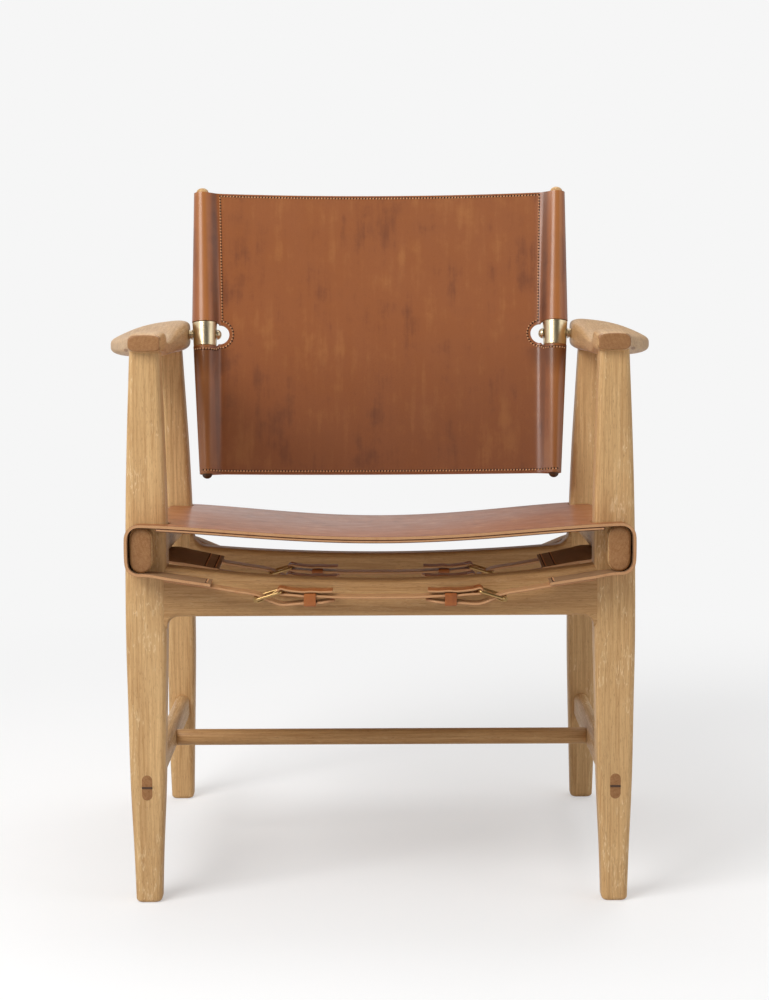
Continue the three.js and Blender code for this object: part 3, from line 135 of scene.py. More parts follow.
STITCH_INSET = 5.0  # from an edge to the row of stitches along it


# Surfaces on grids

def smooth(rows, column):
    """A curve through a column of rows: cubic between rows, its slope at a row the mean of the
    chords either side."""
    knots = np.array([row[0] for row in rows], float)
    values = np.array([row[column] for row in rows], float)
    chords = np.diff(values) / np.diff(knots)
    slopes = np.concatenate([chords[:1], (chords[1:] + chords[:-1]) / 2, chords[-1:]])

    def at(place):
        k = np.clip(np.searchsorted(knots, place, side="right") - 1, 0, len(knots) - 2)
        run = knots[k + 1] - knots[k]
        s = (place - knots[k]) / run
        return ((1 + 2 * s) * (1 - s) ** 2 * values[k] + s * (1 - s) ** 2 * run * slopes[k]
                + s * s * (3 - 2 * s) * values[k + 1] - s * s * (1 - s) * run * slopes[k + 1])
    return at


def smooth_line(points, count):
    """COUNT even places along a curve through POINTS, cubic on the square root of the chords."""
    points = np.array(points, float)
    step = np.linalg.norm(np.diff(points, axis=0), axis=1)
    knots = np.concatenate([[0], np.cumsum(np.sqrt(step))])
    fine = np.linspace(0, knots[-1], 12 * len(points))
    rows = np.column_stack([knots, points])
    dense = np.column_stack([smooth(rows, 1 + c)(fine) for c in range(points.shape[1])])
    run = np.concatenate([[0], np.cumsum(np.linalg.norm(np.diff(dense, axis=0), axis=1))])
    even = np.linspace(0, run[-1], count)
    return np.column_stack([np.interp(even, run, dense[:, c]) for c in range(points.shape[1])])


def points_at(x, y, z):
    """Points from their coordinates, each spread over what the others vary in."""
    return np.stack(np.broadcast_arrays(x, y, z), -1)


def round_rect(width, height, radius, steps=7):
    """Sections with round corners: four quarter circles joined by straight sides, each side
    with three points of its own, going anticlockwise."""
    width, height, radius = (np.asarray(v, float)[..., None, None] for v in
                             np.broadcast_arrays(width, height, radius))
    corner = np.minimum(radius, 0.4995 * np.minimum(width, height))
    angle = (np.linspace(0, math.pi / 2, steps + 1)[None]
             + math.pi / 2 * np.arange(4)[:, None])
    right = np.array([1, -1, -1, 1])[:, None]
    up = np.array([1, 1, -1, -1])[:, None]
    x = right * (width / 2 - corner) + corner * np.cos(angle)
    y = up * (height / 2 - corner) + corner * np.sin(angle)
    arcs = np.stack([x, y], -1)
    share = np.array([0.05, 0.5, 0.95])[:, None]
    ahead = np.roll(arcs[..., 0, :], -1, axis=-2)[..., None, :]
    sides = arcs[..., -1:, :] * (1 - share) + ahead * share
    ring = np.concatenate([arcs, sides], -2)
    return ring.reshape(*ring.shape[:-3], -1, 2)


def grid_faces(rows, columns, wrap_rows=False):
    """Quads over a grid of rows and columns, its columns joined round, and its rows if asked."""
    i = np.arange(rows if wrap_rows else rows - 1)[:, None]
    j = np.arange(columns)[None]
    a = i * columns + j
    b = i * columns + (j + 1) % columns
    down = ((i + 1) % rows - i) * columns
    return np.stack([a, b, b + down, a + down], -1).reshape(-1, 4)


def outward(points, faces):
    """Turns all faces round if they enclose a negative volume."""
    volume = sum(float((points[f[:, 0]] * np.cross(points[f[:, k]], points[f[:, k + 1]])).sum())
                 for f in faces for k in range(1, f.shape[1] - 1))
    return points, [f[:, ::-1] for f in faces] if volume < 0 else faces


def loft(rings):
    """A skin over rings of points, each end closed on the middle of its ring."""
    count, around, _ = rings.shape
    points = np.concatenate([rings.reshape(-1, 3), [rings[0].mean(0)], [rings[-1].mean(0)]])
    j = np.arange(around)
    k = (j + 1) % around
    first = np.stack([np.full(around, count * around), k, j], 1)
    last = (count - 1) * around
    final = np.stack([np.full(around, count * around + 1), last + j, last + k], 1)
    return outward(points, [grid_faces(count, around), np.vstack([first, final])])


def ring_body(rings):
    """A skin over rings that themselves close into a loop."""
    count, around, _ = rings.shape
    return outward(rings.reshape(-1, 3), [grid_faces(count, around, True)])


def round_ends(rings, axis, radius, ends=(True, True)):
    """Quarter-round rims: at angle a the end ring is drawn in by r(1 - cos a) and moved out by
    r sin a along the axis."""
    angles = np.linspace(0, math.pi / 2, 6)[1:, None, None]

    def rim(ring, sign):
        centre = (ring.max(0) + ring.min(0)) / 2
        half = np.maximum((ring.max(0) - ring.min(0)) / 2, 1e-6)
        drawn = centre + (ring - centre) * (1 - radius * (1 - np.cos(angles)) / half)
        drawn[..., axis] = ring[:, axis] + sign * radius * np.sin(angles[..., 0])
        return drawn
    parts = [rings]
    if ends[0]:
        parts.insert(0, rim(rings[0], np.sign(rings[0, 0, axis] - rings[-1, 0, axis]))[::-1])
    if ends[1]:
        parts.append(rim(rings[-1], np.sign(rings[-1, 0, axis] - rings[0, 0, axis])))
    return np.concatenate(parts)


def lathe(profile, axis, sides=72):
    """A profile of radius and place turned about an axis through the origin."""
    profile = np.array(profile, float)
    angle = np.linspace(0, 2 * math.pi, sides, endpoint=False)
    rings = np.empty((len(profile), sides, 3))
    across = [c for c in range(3) if c != axis]
    rings[..., axis] = profile[:, 1:2]
    rings[..., across[0]] = profile[:, :1] * np.cos(angle)
    rings[..., across[1]] = profile[:, :1] * np.sin(angle)
    return loft(rings)


def dome(radius, place, height, start=0.06, steps=8):
    """Profile of a flattened dome: radius r sin a at place p + h cos a."""
    angle = np.linspace(start, math.pi / 2, steps)
    return np.column_stack([radius * np.sin(angle), place + height * np.cos(angle)])


def plate(upper, lower, keep):
    """A sheet between two grids of points with some cells left out: its top, underside and
    the walls along every free edge, which are returned last."""
    rows, columns, _ = upper.shape
    points = np.concatenate([upper.reshape(-1, 3), lower.reshape(-1, 3)])
    under = rows * columns
    kept = np.zeros((rows + 1, columns + 1), bool)
    kept[1:-1, 1:-1] = keep
    i, j = np.nonzero(keep)
    a = i * columns + j
    top = np.stack([a, a + columns, a + columns + 1, a + 1], 1)
    walls = []
    for di, dj, first, second in ((0, -1, columns, 0), (1, 0, columns + 1, columns),
                                  (0, 1, 1, columns + 1), (-1, 0, 0, 1)):
        free = ~kept[i + 1 + di, j + 1 + dj]
        p, q = a[free] + first, a[free] + second
        walls.append(np.stack([p, q, q + under, p + under], 1))
    faces = np.concatenate([top, top[:, ::-1] + under, np.vstack(walls)])
    used, remap = np.unique(faces, return_inverse=True)
    points, faces = points[used], remap.reshape(faces.shape)
    points, (faces,) = outward(points, [faces])
    return points, [faces], len(faces) - sum(map(len, walls))


def tilt_back(points):
    """Turns points drawn about the pivots back by the back's tilt and puts them in place."""
    c, s = math.cos(TILT), math.sin(TILT)
    x, y, z = points[..., 0], points[..., 1], points[..., 2]
    return points_at(x, PIVOT_Y + y * c + z * s, PIVOT_Z - y * s + z * c)


def onto_upright(points):
    """Leans a shape drawn about an upright's axis and moves it onto the right upright."""
    c, s = math.cos(LEAN), math.sin(LEAN)
    x, y, z = points[..., 0], points[..., 1], points[..., 2]
    return points_at(UPRIGHT_X + x * c + z * s, y, -x * s + z * c)


# Pieces in the scene

def mirrored(part):
    """A shape seen in the chair's middle plane."""
    points, faces = part[0] * np.array([-1, 1, 1]), [f[:, ::-1] for f in part[1]]
    return (points, faces, *part[2:])


def object_of(name, parts):
    """An object from shapes merged into one mesh, with its place in its vertices."""
    offset, faces = 0, []
    for part in parts:
        for f in part[1]:
            faces += (f + offset).tolist()
        offset += len(part[0])
    place = np.concatenate([part[0] for part in parts]) * MM
    place[:, 1] += SHIFT_Y
    mesh = bpy.data.meshes.new(name)
    mesh.from_pydata(place.tolist(), [], faces)
    obj = bpy.data.objects.new(name, mesh)
    bpy.context.scene.collection.objects.link(obj)
    return obj, mesh


def piece(name, parts, materials, body="frame", replaces=None, slot=None, sharp=SHARP):
    """One piece from shapes, shaded smooth but for edges sharper than an angle. A shape's own
    finishes number its faces' materials."""
    obj, mesh = object_of(name, parts)
    finish = [part[2] if len(part) > 2 else np.zeros(sum(map(len, part[1])), int)
              for part in parts]
    mesh.polygons.foreach_set("material_index", np.concatenate(finish).astype(np.int32))
    for material in materials:
        mesh.materials.append(material)
    mesh.shade_smooth()
    if sharp:
        mesh.set_sharp_from_angle(angle=math.radians(sharp))
    mesh.validate()
    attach(obj, body)
    if replaces:
        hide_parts(replaces)
    return obj


def pair(name, parts, materials, **options):
    """The same piece on the right and, mirrored, on the left."""
    flipped = [mirrored(part) for part in parts]
    return (piece(f"{name}_right_piece", parts, materials, replaces=f"{name}_right", **options),
            piece(f"{name}_left_piece", flipped, materials, replaces=f"{name}_left", **options))


def soften(obj, width, angle=50, finish=-1):
    """A live bevel of two steps on the edges sharper than an angle, in a finish of its own if
    given."""
    bevel = obj.modifiers.new("soft edge", "BEVEL")
    bevel.width = width * MM
    bevel.segments = 2
    bevel.limit_method = "ANGLE"
    bevel.angle_limit = math.radians(angle)
    bevel.material = finish


def carve(obj, cutters):
    """Cuts closed shapes out of a piece and keeps the result in its mesh."""
    blade, tool = object_of("cutter", cutters)
    cut = obj.modifiers.new("cut", "BOOLEAN")
    cut.operation = "DIFFERENCE"
    cut.object = blade
    cut.solver = "EXACT"
    shape = obj.evaluated_get(bpy.context.evaluated_depsgraph_get())
    made = bpy.data.meshes.new_from_object(shape)
    old, name = obj.data, obj.data.name
    obj.modifiers.clear()
    obj.data = made
    bpy.data.meshes.remove(old)
    made.name = name
    bpy.data.objects.remove(blade)
    bpy.data.meshes.remove(tool)
    if not len(made.polygons):
        raise RuntimeError(f"{obj.name}: the cut left nothing")


# Wood shapes

def leg_shape(leg):
    """Rings up the leg: a rounded rectangle whose sides and depth follow the leg's rows, its foot
    rounded over."""
    height, depth, front, rows = leg
    places = np.concatenate([np.linspace(FOOT_ROUND, 20, 8), np.linspace(26, height, 90)])
    along = places / height
    inner, outer, deep = (smooth(rows, column)(along) for column in (1, 2, 3))
    section = round_rect(LEG_SPAN * (outer - inner), depth * deep, LEG_EDGE)
    x = LEG_INNER + LEG_SPAN * (inner + outer) / 2
    rings = points_at(x[:, None] + section[..., 0],
                      front + depth * deep[:, None] / 2 + section[..., 1], places[:, None])
    return loft(round_ends(rings, 2, FOOT_ROUND, (True, False)))


def leg_inner(leg, height):
    """Where the right leg's inner side is at a height."""
    return LEG_INNER + LEG_SPAN * smooth(leg[3], 1)(height / leg[0])


def rail_at(y):
    """Middle, half width, top and bottom of the right rail at a depth: all straight lines."""
    along = (y - RAIL_FRONT) / RAIL_LENGTH
    half = (RAIL_WIDTHS[0] + (RAIL_WIDTHS[1] - RAIL_WIDTHS[0]) * along) / 2
    top = RAIL_TOP - RAIL_FALL * along
    height = RAIL_HEIGHTS[0] + (RAIL_HEIGHTS[1] - RAIL_HEIGHTS[0]) * along
    return RAIL_X + RAIL_SPREAD * along, half, top, top - height


def rail_shape():
    """Straight tapered bar with round top and bottom and eased ends."""
    y = np.linspace(RAIL_FRONT + RAIL_EASE, RAIL_FRONT + RAIL_LENGTH - RAIL_EASE, 24)
    x, half, top, bottom = rail_at(y)
    section = round_rect(2 * half, top - bottom, half, 12)
    rings = points_at(x[:, None] + section[..., 0], y[:, None],
                      ((top + bottom) / 2)[:, None] + section[..., 1])
    return loft(round_ends(rings, 1, RAIL_EASE))


def apron_shape(apron):
    """Rounded rectangles along X: the top rises with the square of the way to the legs, and a
    quarter circle eases one edge into each leg."""
    leg, front, depth, bottom, height, rise, fillet, up = apron
    reach = float(leg_inner(leg, bottom + height / 2)) - FIT
    half = np.concatenate([np.linspace(0, reach - fillet, 46),
                           reach - fillet * (1 - np.sin(np.linspace(0.08, math.pi / 2, 14))),
                           [reach + 3, reach + LEG_EDGE]])
    x = np.concatenate([-half[:0:-1], half])
    left = np.clip(fillet - (reach - np.abs(x)), 0, fillet)
    eased = fillet - np.sqrt(fillet ** 2 - left ** 2)
    top = bottom + height + rise * (x / reach) ** 2 + up * eased
    low = bottom - (1 - up) * eased
    section = round_rect(depth, top - low, APRON_EDGE)
    return loft(points_at(x[:, None], front + depth / 2 + section[..., 0],
                          ((top + low) / 2)[:, None] + section[..., 1]))


def stretcher_z(y):
    """Height of the side stretcher's middle, which falls to the rear."""
    return STRETCHER_Z - STRETCHER_FALL * y / REAR_LEG[2]


def on_stretcher(y, section):
    """Sections at depths along the side stretcher's falling line."""
    return points_at(STRETCHER_X + section[..., 0], y[:, None],
                     stretcher_z(y)[:, None] + section[..., 1])


def stretcher_bar(start, end, size, rounding):
    """A bar with round top and bottom along the side stretcher."""
    y = np.linspace(start + rounding, end - rounding, 16)
    section = round_rect(size[0], size[1], size[0] / 2, 10)
    return loft(round_ends(on_stretcher(y, section), 1, rounding))


def wedge_shape():
    """A thin tapered box across the tenon's end."""
    y = np.array([-0.55, 4, 10, WEDGE_LENGTH])
    thick = WEDGE_THICK - WEDGE_TAPER * y / WEDGE_LENGTH
    return loft(on_stretcher(y, round_rect(TENON_SECTION[0] - 0.4, thick, 0.3, 2)))


def cross_shape():
    """The round bar between the side stretchers, its shoulders eased."""
    face = STRETCHER_X - STRETCHER_SECTION[0] / 2 - FIT
    half = [(CROSS_RADIUS - 0.5, face), (CROSS_RADIUS, face - 0.8)]
    inside = [(CROSS_RADIUS, x) for x in np.linspace(face - 20, 20 - face, 12)]
    left = [(CROSS_TENON, -face - 8), (CROSS_TENON, -face), *((r, -x) for r, x in half)]
    right = [*half[::-1], (CROSS_TENON, face), (CROSS_TENON, face + 8)]
    points, faces = lathe(left + inside[::-1] + right, 0)
    return points + np.array([0, CROSS_Y, stretcher_z(CROSS_Y)]), faces


def arm_shape():
    """Sections along the arm. Across is half plus half the cosine, and up half plus half the
    sine, each raised to a power that squares the inner edge and rounds the outer one; the top is
    a straight line crowned by a parabola, and all its heights follow the arm's rows."""
    rim = ARM_EASE / ARM_LENGTH
    along = np.unique(np.concatenate([np.linspace(0, 0.1, 22), np.linspace(0.1, 0.9, 74),
                                      np.linspace(0.9, 1, 28)])) * (1 - 2 * rim) + rim
    even = np.linspace(0, 1, 15)[:-1] ** (1 / 0.45)
    quarter = np.unique(np.round(np.concatenate([np.arccos(even), np.arcsin(even)]), 6))
    angle = np.concatenate([quarter[:-1], math.pi - quarter[:0:-1], math.pi + quarter[:-1],
                            2 * math.pi - quarter[:0:-1]])[None]
    reach, edge, dip_in, dip_out, fall = (smooth(ARM_ROWS, c)(along)[:, None]
                                          for c in range(1, 6))
    outer, inner = ARM_X + ARM_REACH * reach, ARM_X - ARM_INNER * edge
    c, s = np.cos(angle), np.sin(angle)
    power = ARM_POWERS[0] + (ARM_POWERS[1] - ARM_POWERS[0]) * (1 + c) / 2
    across = 0.5 + 0.5 * np.sign(c) * np.abs(c) ** power
    up = 0.5 + 0.5 * np.sign(s) * np.abs(s) ** power
    top = (ARM_TOP - ARM_DIP * (dip_in + (dip_out - dip_in) * across)
           + ARM_CROWN * (outer - inner) * 4 * across * (1 - across))
    bottom = ARM_UNDER - ARM_FALL * fall
    rings = points_at(inner + (outer - inner) * across, ARM_FRONT + ARM_LENGTH * along[:, None],
                      bottom + (top - bottom) * up)
    return loft(round_ends(rings, 1, ARM_EASE))


# Seat leather

def seat_height(x, y):
    """The seat's middle surface: it hangs between the rails by the sag, which eases out with a
    fourth-power curve towards them."""
    rail_x, _, top, _ = rail_at(y)
    share = np.minimum(1, np.abs(x) / rail_x)
    along = (y - SEAT_FRONT) / (SEAT_REAR - SEAT_FRONT)
    sag = SEAT_SAG * (2 * (along - 0.5) * (along - 1) * FRONT_SAG - 4 * along * (along - 1)
                      + 2 * along * (along - 0.5) * REAR_SAG)
    return top + FIT + HIDE / 2 - sag * (1 - share ** 2 * (1.7 - 0.7 * share ** 2))


def flap_root(y):
    """Height of the leather's middle right under the rail."""
    return rail_at(y)[3] - FIT - HIDE / 2


def flap_drop(x, rail_x, drop):
    """How far a flap hangs below its rail: a parabola out to where its strap starts, then
    straight to its end."""
    bend = drop * FLAP_BEND
    early = bend * ((rail_x - x) / (rail_x - STRAP_ROOT)) ** 2
    late = bend + (drop - bend) * (STRAP_ROOT - x) / (STRAP_ROOT - FLAP_ENDS[0])
    return np.where(x > STRAP_ROOT, early, late)


NOTCH_ROOM = 2  # between the notches and the legs
NOTCH_FRONT = float(leg_inner(FRONT_LEG, RAIL_TOP)) - NOTCH_ROOM
NOTCH_REAR = float(leg_inner(REAR_LEG, RAIL_TOP - RAIL_FALL)) - NOTCH_ROOM
ROW_Y = ((SEAT_LINES[0] + SEAT_LINES[1]) / 2, MIDDLE_FLAP_Y, (SEAT_LINES[4] + SEAT_LINES[5]) / 2)


def depth_lines():
    """Depths across the seat and the band of each: a tab, a notch, the seat, a notch, a tab."""
    counts = (9, 9, 84, 9, 9)
    lines = [np.linspace(SEAT_LINES[k], SEAT_LINES[k + 1], n)[(k % 2):n - (k % 2)]
             for k, n in enumerate(counts)]
    bands = [np.full(len(line), k) for k, line in enumerate(lines)]
    return np.concatenate(lines), np.concatenate(bands)


def half_width():
    """Places from the middle to the rear notch, with one at the front notch."""
    beyond = np.linspace(NOTCH_FRONT, NOTCH_REAR, REAR_CELLS - FRONT_CELLS + 1)[1:]
    return np.concatenate([np.linspace(0, NOTCH_FRONT, FRONT_CELLS + 1), beyond])


def kept_cells(count, band):
    """Which grid cells are leather, of COUNT lines from the middle to a side: in the notches'
    bands, only those up to the notch."""
    step = (np.abs(np.arange(2 * count - 2) - count + 1.5) - 0.5)[:, None]
    front, rear = (((band[:-1] == k) | (band[1:] == k))[None] for k in (1, 3))
    return np.where(front, step < FRONT_CELLS, ~rear | (step < REAR_CELLS))


def sling_shape():
    """The seat's leather. One way runs out from the middle along the sagging seat, round the
    rail on a circle with a little slack on its outer side, and back below it along the flap; the
    other runs back along the chair. The sheet is half its thickness either side of that."""
    y0, band = depth_lines()
    over = half_width()
    turn_high = np.radians(np.linspace(90, 0, 12)[1:])
    turn_low = np.radians(np.linspace(0, -90, 14)[1:])
    counts = [len(over), 6, len(turn_high), 4, len(turn_low), 30]
    starts = np.cumsum([0] + counts)
    steps = int(starts[-1])
    k = np.arange(steps)
    # Half width of the middle flap, from the rail's outer side to its end
    halves = list(enumerate(MIDDLE_FLAP_HALVES))
    low, under = (k - starts[4] + 1) / counts[4], (k - starts[5] + 1) / counts[5]
    along = np.where(k < starts[5], np.clip((low - 1 / 3) * 3, 0, 2),
                     np.interp(under, [0, 0.24, 0.405, 1], [2, 3, 4, 5]))
    half = smooth(halves, 1)(np.minimum(along, 5))[:, None]
    middle = (SEAT_LINES[2] + SEAT_LINES[3]) / 2
    full = (SEAT_LINES[3] - SEAT_LINES[2]) / 2
    narrowed = (k[:, None] >= starts[4]) & (band == 2)[None]
    drawn = MIDDLE_FLAP_Y + (y0[None] - middle) / full * half
    blend = np.clip(along, 0, 1)[:, None]
    y = np.where(narrowed, y0[None] + (drawn - y0[None]) * blend, y0[None])
    rail_x, rail_half, top, bottom = rail_at(y)
    x, z = np.empty_like(y), np.empty_like(y)
    s = slice(0, counts[0])
    x[s] = over[:, None]
    z[s] = seat_height(x[s], y[s])
    s = slice(starts[1], starts[2])
    share = (np.arange(counts[1]) + 1)[:, None] / counts[1]
    x[s] = over[-1] + (rail_x[s] - over[-1]) * share
    z[s] = seat_height(x[s], y[s])
    for first, angle, centre in ((2, turn_high, top - rail_half),
                                 (4, turn_low, bottom + rail_half)):
        s = slice(starts[first], starts[first + 1])
        angle = angle[:, None]
        radius = rail_half[s] + FIT + HIDE / 2 + SIDE_SLACK * np.cos(angle)
        x[s] = rail_x[s] + radius * np.cos(angle)
        z[s] = centre[s] + radius * np.sin(angle)
    s = slice(starts[3], starts[4])
    share = (np.arange(counts[3]) + 1)[:, None] / (counts[3] + 1)
    x[s] = rail_x[s] + rail_half[s] + FIT + HIDE / 2 + SIDE_SLACK
    z[s] = (top - rail_half)[s] * (1 - share) + (bottom + rail_half)[s] * share
    which = np.array([0, 1, 1, 1, 2])[band]
    row_y, end, drop = (np.array(v)[which][None] for v in (ROW_Y, FLAP_ENDS, FLAP_DROPS))
    s = slice(starts[5], steps)
    share = (np.arange(counts[5]) + 1)[:, None] / counts[5]
    x[s] = rail_x[s] + (end - rail_x[s]) * share
    level = np.clip((rail_x[s] - x[s]) / (rail_x[s] - STRAP_ROOT), 0, 1)
    level = level * level * (3 - 2 * level)
    root = flap_root(y[s]) * (1 - level) + flap_root(row_y) * level
    z[s] = root - flap_drop(x[s], rail_x[s], drop)
    for _ in range(3):
        for v in (x, z):
            v[1:-1] = (v[:-2] + 2 * v[1:-1] + v[2:]) / 4
    x[0] = 0
    x = np.concatenate([-x[:0:-1], x])
    z, y = np.concatenate([z[:0:-1], z]), np.concatenate([y[:0:-1], y])
    run_x, run_z = np.gradient(x, axis=0), np.gradient(z, axis=0)
    length = np.hypot(run_x, run_z)
    grow = HIDE / 2
    upper, lower = (points_at(x - side * grow * run_z / length, y,
                              z + side * grow * run_x / length) for side in (1, -1))
    return sheet_part(upper, lower, kept_cells(steps, band))


def sheet_part(upper, lower, keep):
    """A plate whose outer face, inner face and cut edges carry finishes 0, 1 and 2."""
    points, faces, walls = plate(upper, lower, keep)
    finish = np.full(len(faces[0]), 2)
    finish[:walls] = 1
    finish[:walls // 2] = 0
    return points, faces, finish


def lining_shape():
    """The seat's second layer: it follows the first from below between the rails."""
    y, band = depth_lines()
    half = half_width()
    x = np.concatenate([-half[:0:-1], half])[:, None] + 0 * y[None]
    depth = y[None] + 0 * x
    z = seat_height(x, depth) - HIDE / 2 - FIT
    return sheet_part(points_at(x, depth, z), points_at(x, depth, z - HIDE),
                      kept_cells(len(half), band))


# Straps and buckles, drawn about their flap's end: x out, y across the strap, z up

def carried(line, across, up):
    """Sections carried square to a line in X and Z."""
    run = np.gradient(line, axis=0)
    run /= np.linalg.norm(run, axis=1)[:, None]
    return points_at(line[:, :1] - run[:, 1:] * up, across, line[:, 1:] + run[:, :1] * up)


def strap_shape(line, half_widths):
    """A flat strap along a line in X and Z, its section's corners worn round."""
    section = round_rect(2 * half_widths, STRAP_THICK, STRAP_CORNER, 3)
    rings = carried(line, section[..., 0], section[..., 1])
    points, faces = loft(rings)
    # Grain side 0, cut edges 1 up to half their height, flesh side 2
    level = section[len(section) // 2, :, 1]
    level = (level + np.roll(level, -1)) / 2
    side = np.where(level > EDGE_HALF, 0, np.where(level < -EDGE_HALF, 2, 1))
    return points, faces, np.concatenate([np.tile(side, len(rings) - 1),
                                          np.ones(2 * len(side), int)])


ROLLER_Z, HEEL_Z = -ROLLER_DROP, HEEL_RISE - ROLLER_DROP
WRAP = WIRE + FIT + STRAP_THICK / 2
LAYER = FIT + STRAP_THICK / 2
KEEPER_OUT, KEEPER_IN = KEEPER_X + KEEPER_LENGTH / 2, KEEPER_X - KEEPER_LENGTH / 2
CHAPE_HIGH, CHAPE_LOW = -KEEPER_TOP + LAYER, -KEEPER_TOP - KEEPER_WALL - LAYER
BILLET_LOW = -KEEPER_TOP - KEEPER_HEIGHT + KEEPER_WALL + LAYER


def billet_shape(band):
    """From under the flap, over the roller, down through the frame and the keeper to a pointed
    tip whose width grows with the square root of the way from it."""
    under = HIDE / 2 + FIT + STRAP_THICK / 2
    rail_x, drop = rail_at(ROW_Y[band])[0], FLAP_DROPS[band]
    root = drop - float(flap_drop(np.array(STRAP_ROOT), rail_x, drop)) - under
    end = drop - float(flap_drop(np.array(FLAP_ENDS[band]), rail_x, drop)) - under
    over = ROLLER_Z + ROLLER_RADIUS + 0.4 + STRAP_THICK / 2
    line = smooth_line([
        (STRAP_ROOT, root), (FLAP_ENDS[band], end),
        ((FLAP_ENDS[band] + ROLLER_X) / 2, (end + over) / 2), (ROLLER_X, over),
        ((ROLLER_X + HEEL_X) / 2, (over + BILLET_LOW) / 2 - STRAP_THICK / 2),
        (HEEL_X, BILLET_LOW - STRAP_THICK / 2), (KEEPER_OUT, BILLET_LOW),
        (KEEPER_IN, BILLET_LOW), (TIP_X, BILLET_LOW + STRAP_THICK)], 150)
    from_tip = np.maximum(0, line[:, 0] - TIP_X) / TIP_LENGTH
    share = np.minimum(1, TIP_BLUNT + (1 - TIP_BLUNT) * np.sqrt(from_tip))
    return strap_shape(line, STRAP_HALF * share)


def centre_shape():
    """One strap between two buckles, folded round each heel bar on a half circle, its ends lying
    back on top of the keeper."""
    angle = np.linspace(math.pi / 2, -math.pi / 2, 9)
    fold = np.column_stack([HEEL_X + WRAP * np.cos(angle), HEEL_Z + WRAP * np.sin(angle)])
    lead = (HEEL_X - KEEPER_OUT) / 3
    above = [(CHAPE_END, CHAPE_HIGH + 0.5), (KEEPER_IN - 6, CHAPE_HIGH + 0.1),
             (KEEPER_IN, CHAPE_HIGH + 0.5), (KEEPER_X, CHAPE_HIGH + 0.7),
             (KEEPER_OUT, CHAPE_HIGH + 0.2), (HEEL_X - lead, (HEEL_Z + WRAP + CHAPE_HIGH) / 2)]
    below = [(HEEL_X - 2 * lead, (HEEL_Z - WRAP + CHAPE_LOW) / 2), (KEEPER_OUT, CHAPE_LOW),
             (KEEPER_IN, CHAPE_LOW), (KEEPER_X / 2, (CHAPE_LOW - CENTRE_DROP) / 2)]
    half = np.vstack([above, fold, below])
    line = smooth_line(np.vstack([half, (half * [-1, 1])[::-1]]), 420)
    return strap_shape(line, np.full(len(line), STRAP_HALF))


def prong_slots(y, z):
    """Boxes for the slots that the prongs come through, in the fold at each heel bar."""
    section = round_rect(*PRONG_SLOT, 5)
    box = loft(points_at(HEEL_X + section[..., 0], y + section[..., 1],
                         (z + HEEL_Z + np.array([-SLOT_REACH, SLOT_REACH]))[:, None]))
    return [box, mirrored(box)]


def keeper_shape():
    """A band of leather bent into a loop: outlines with round corners, grown by shares of the
    wall's thickness, at places across the band."""
    height = KEEPER_HEIGHT - KEEPER_WALL
    width = 2 * STRAP_HALF + KEEPER_ROOM + KEEPER_WALL
    loops = []
    for grow, x in ((1, KEEPER_EASE), (1, KEEPER_LENGTH - KEEPER_EASE), (0.4, KEEPER_LENGTH),
                    (-1, KEEPER_LENGTH), (-1, 0), (0.4, 0)):
        section = round_rect(width + grow * KEEPER_WALL, height + grow * KEEPER_WALL,
                             KEEPER_WALL * (1 + grow / 2), 5)
        loops.append(points_at(KEEPER_IN + x, section[..., 0],
                               section[..., 1] - KEEPER_TOP - KEEPER_HEIGHT / 2))
    return ring_body(np.stack(loops))


def buckle_shapes():
    """A round wire bent to a rectangle between the roller and the heel bar, and its roller."""
    length = math.hypot(ROLLER_X - HEEL_X, HEEL_RISE)
    width = 2 * STRAP_HALF + 2 * (WIRE_ROOM + WIRE)
    path = round_rect(length, width, WIRE_BEND, 8)
    ahead = np.roll(path, -1, 0) - np.roll(path, 1, 0)
    ahead /= np.linalg.norm(ahead, axis=1)[:, None]
    out = np.column_stack([ahead[:, 1], -ahead[:, 0]])
    angle = np.linspace(0, 2 * math.pi, 16, endpoint=False)
    flat = path[:, None] + WIRE * np.cos(angle)[None, :, None] * out[:, None]
    points, faces = ring_body(points_at(flat[..., 0], flat[..., 1], WIRE * np.sin(angle)))
    lean = -math.atan2(HEEL_RISE, ROLLER_X - HEEL_X)
    c, s = math.cos(lean), math.sin(lean)
    x, y, z = points.T
    wire = (points_at((ROLLER_X + HEEL_X) / 2 + x * c - z * s, y,
                      (ROLLER_Z + HEEL_Z) / 2 + x * s + z * c), faces)
    half = STRAP_HALF + ROLLER_ROOM
    eased = ROLLER_RADIUS - 0.3
    side = [(ROLLER_BORE, half), (eased, half), (ROLLER_RADIUS, half - 0.4)]
    roller, faces = lathe([*((radius, -y) for radius, y in side), *side[::-1]], 1, 32)
    return [wire, (roller + np.array([ROLLER_X, 0, ROLLER_Z]), faces)]


def prong_shape():
    """A tapering wire hooked over the heel bar, through the billet, to rest under the roller."""
    hook = WIRE + FIT + PRONG
    angle = np.radians([215, 180, 150, 120, 90, 60, 35])
    under = ROLLER_Z - ROLLER_RADIUS - FIT - PRONG
    line = smooth_line([*zip(HEEL_X + hook * np.cos(angle), HEEL_Z + hook * np.sin(angle)),
                        ((ROLLER_X + HEEL_X) / 2, HEEL_Z + 0.52 * (under - HEEL_Z)),
                        (ROLLER_X - ROLLER_RADIUS, under), (ROLLER_X + ROLLER_RADIUS, under)], 60)
    turn = np.linspace(0, 2 * math.pi, 14, endpoint=False)
    radius = (PRONG * (1 - 0.25 * np.linspace(0, 1, 60) ** 3))[:, None]
    return loft(carried(line, radius * np.cos(turn), radius * np.sin(turn)))


def moved(part, y, z):
    """A shape put at a depth and a height."""
    return (part[0] + np.array([0, y, z]), *part[1:])


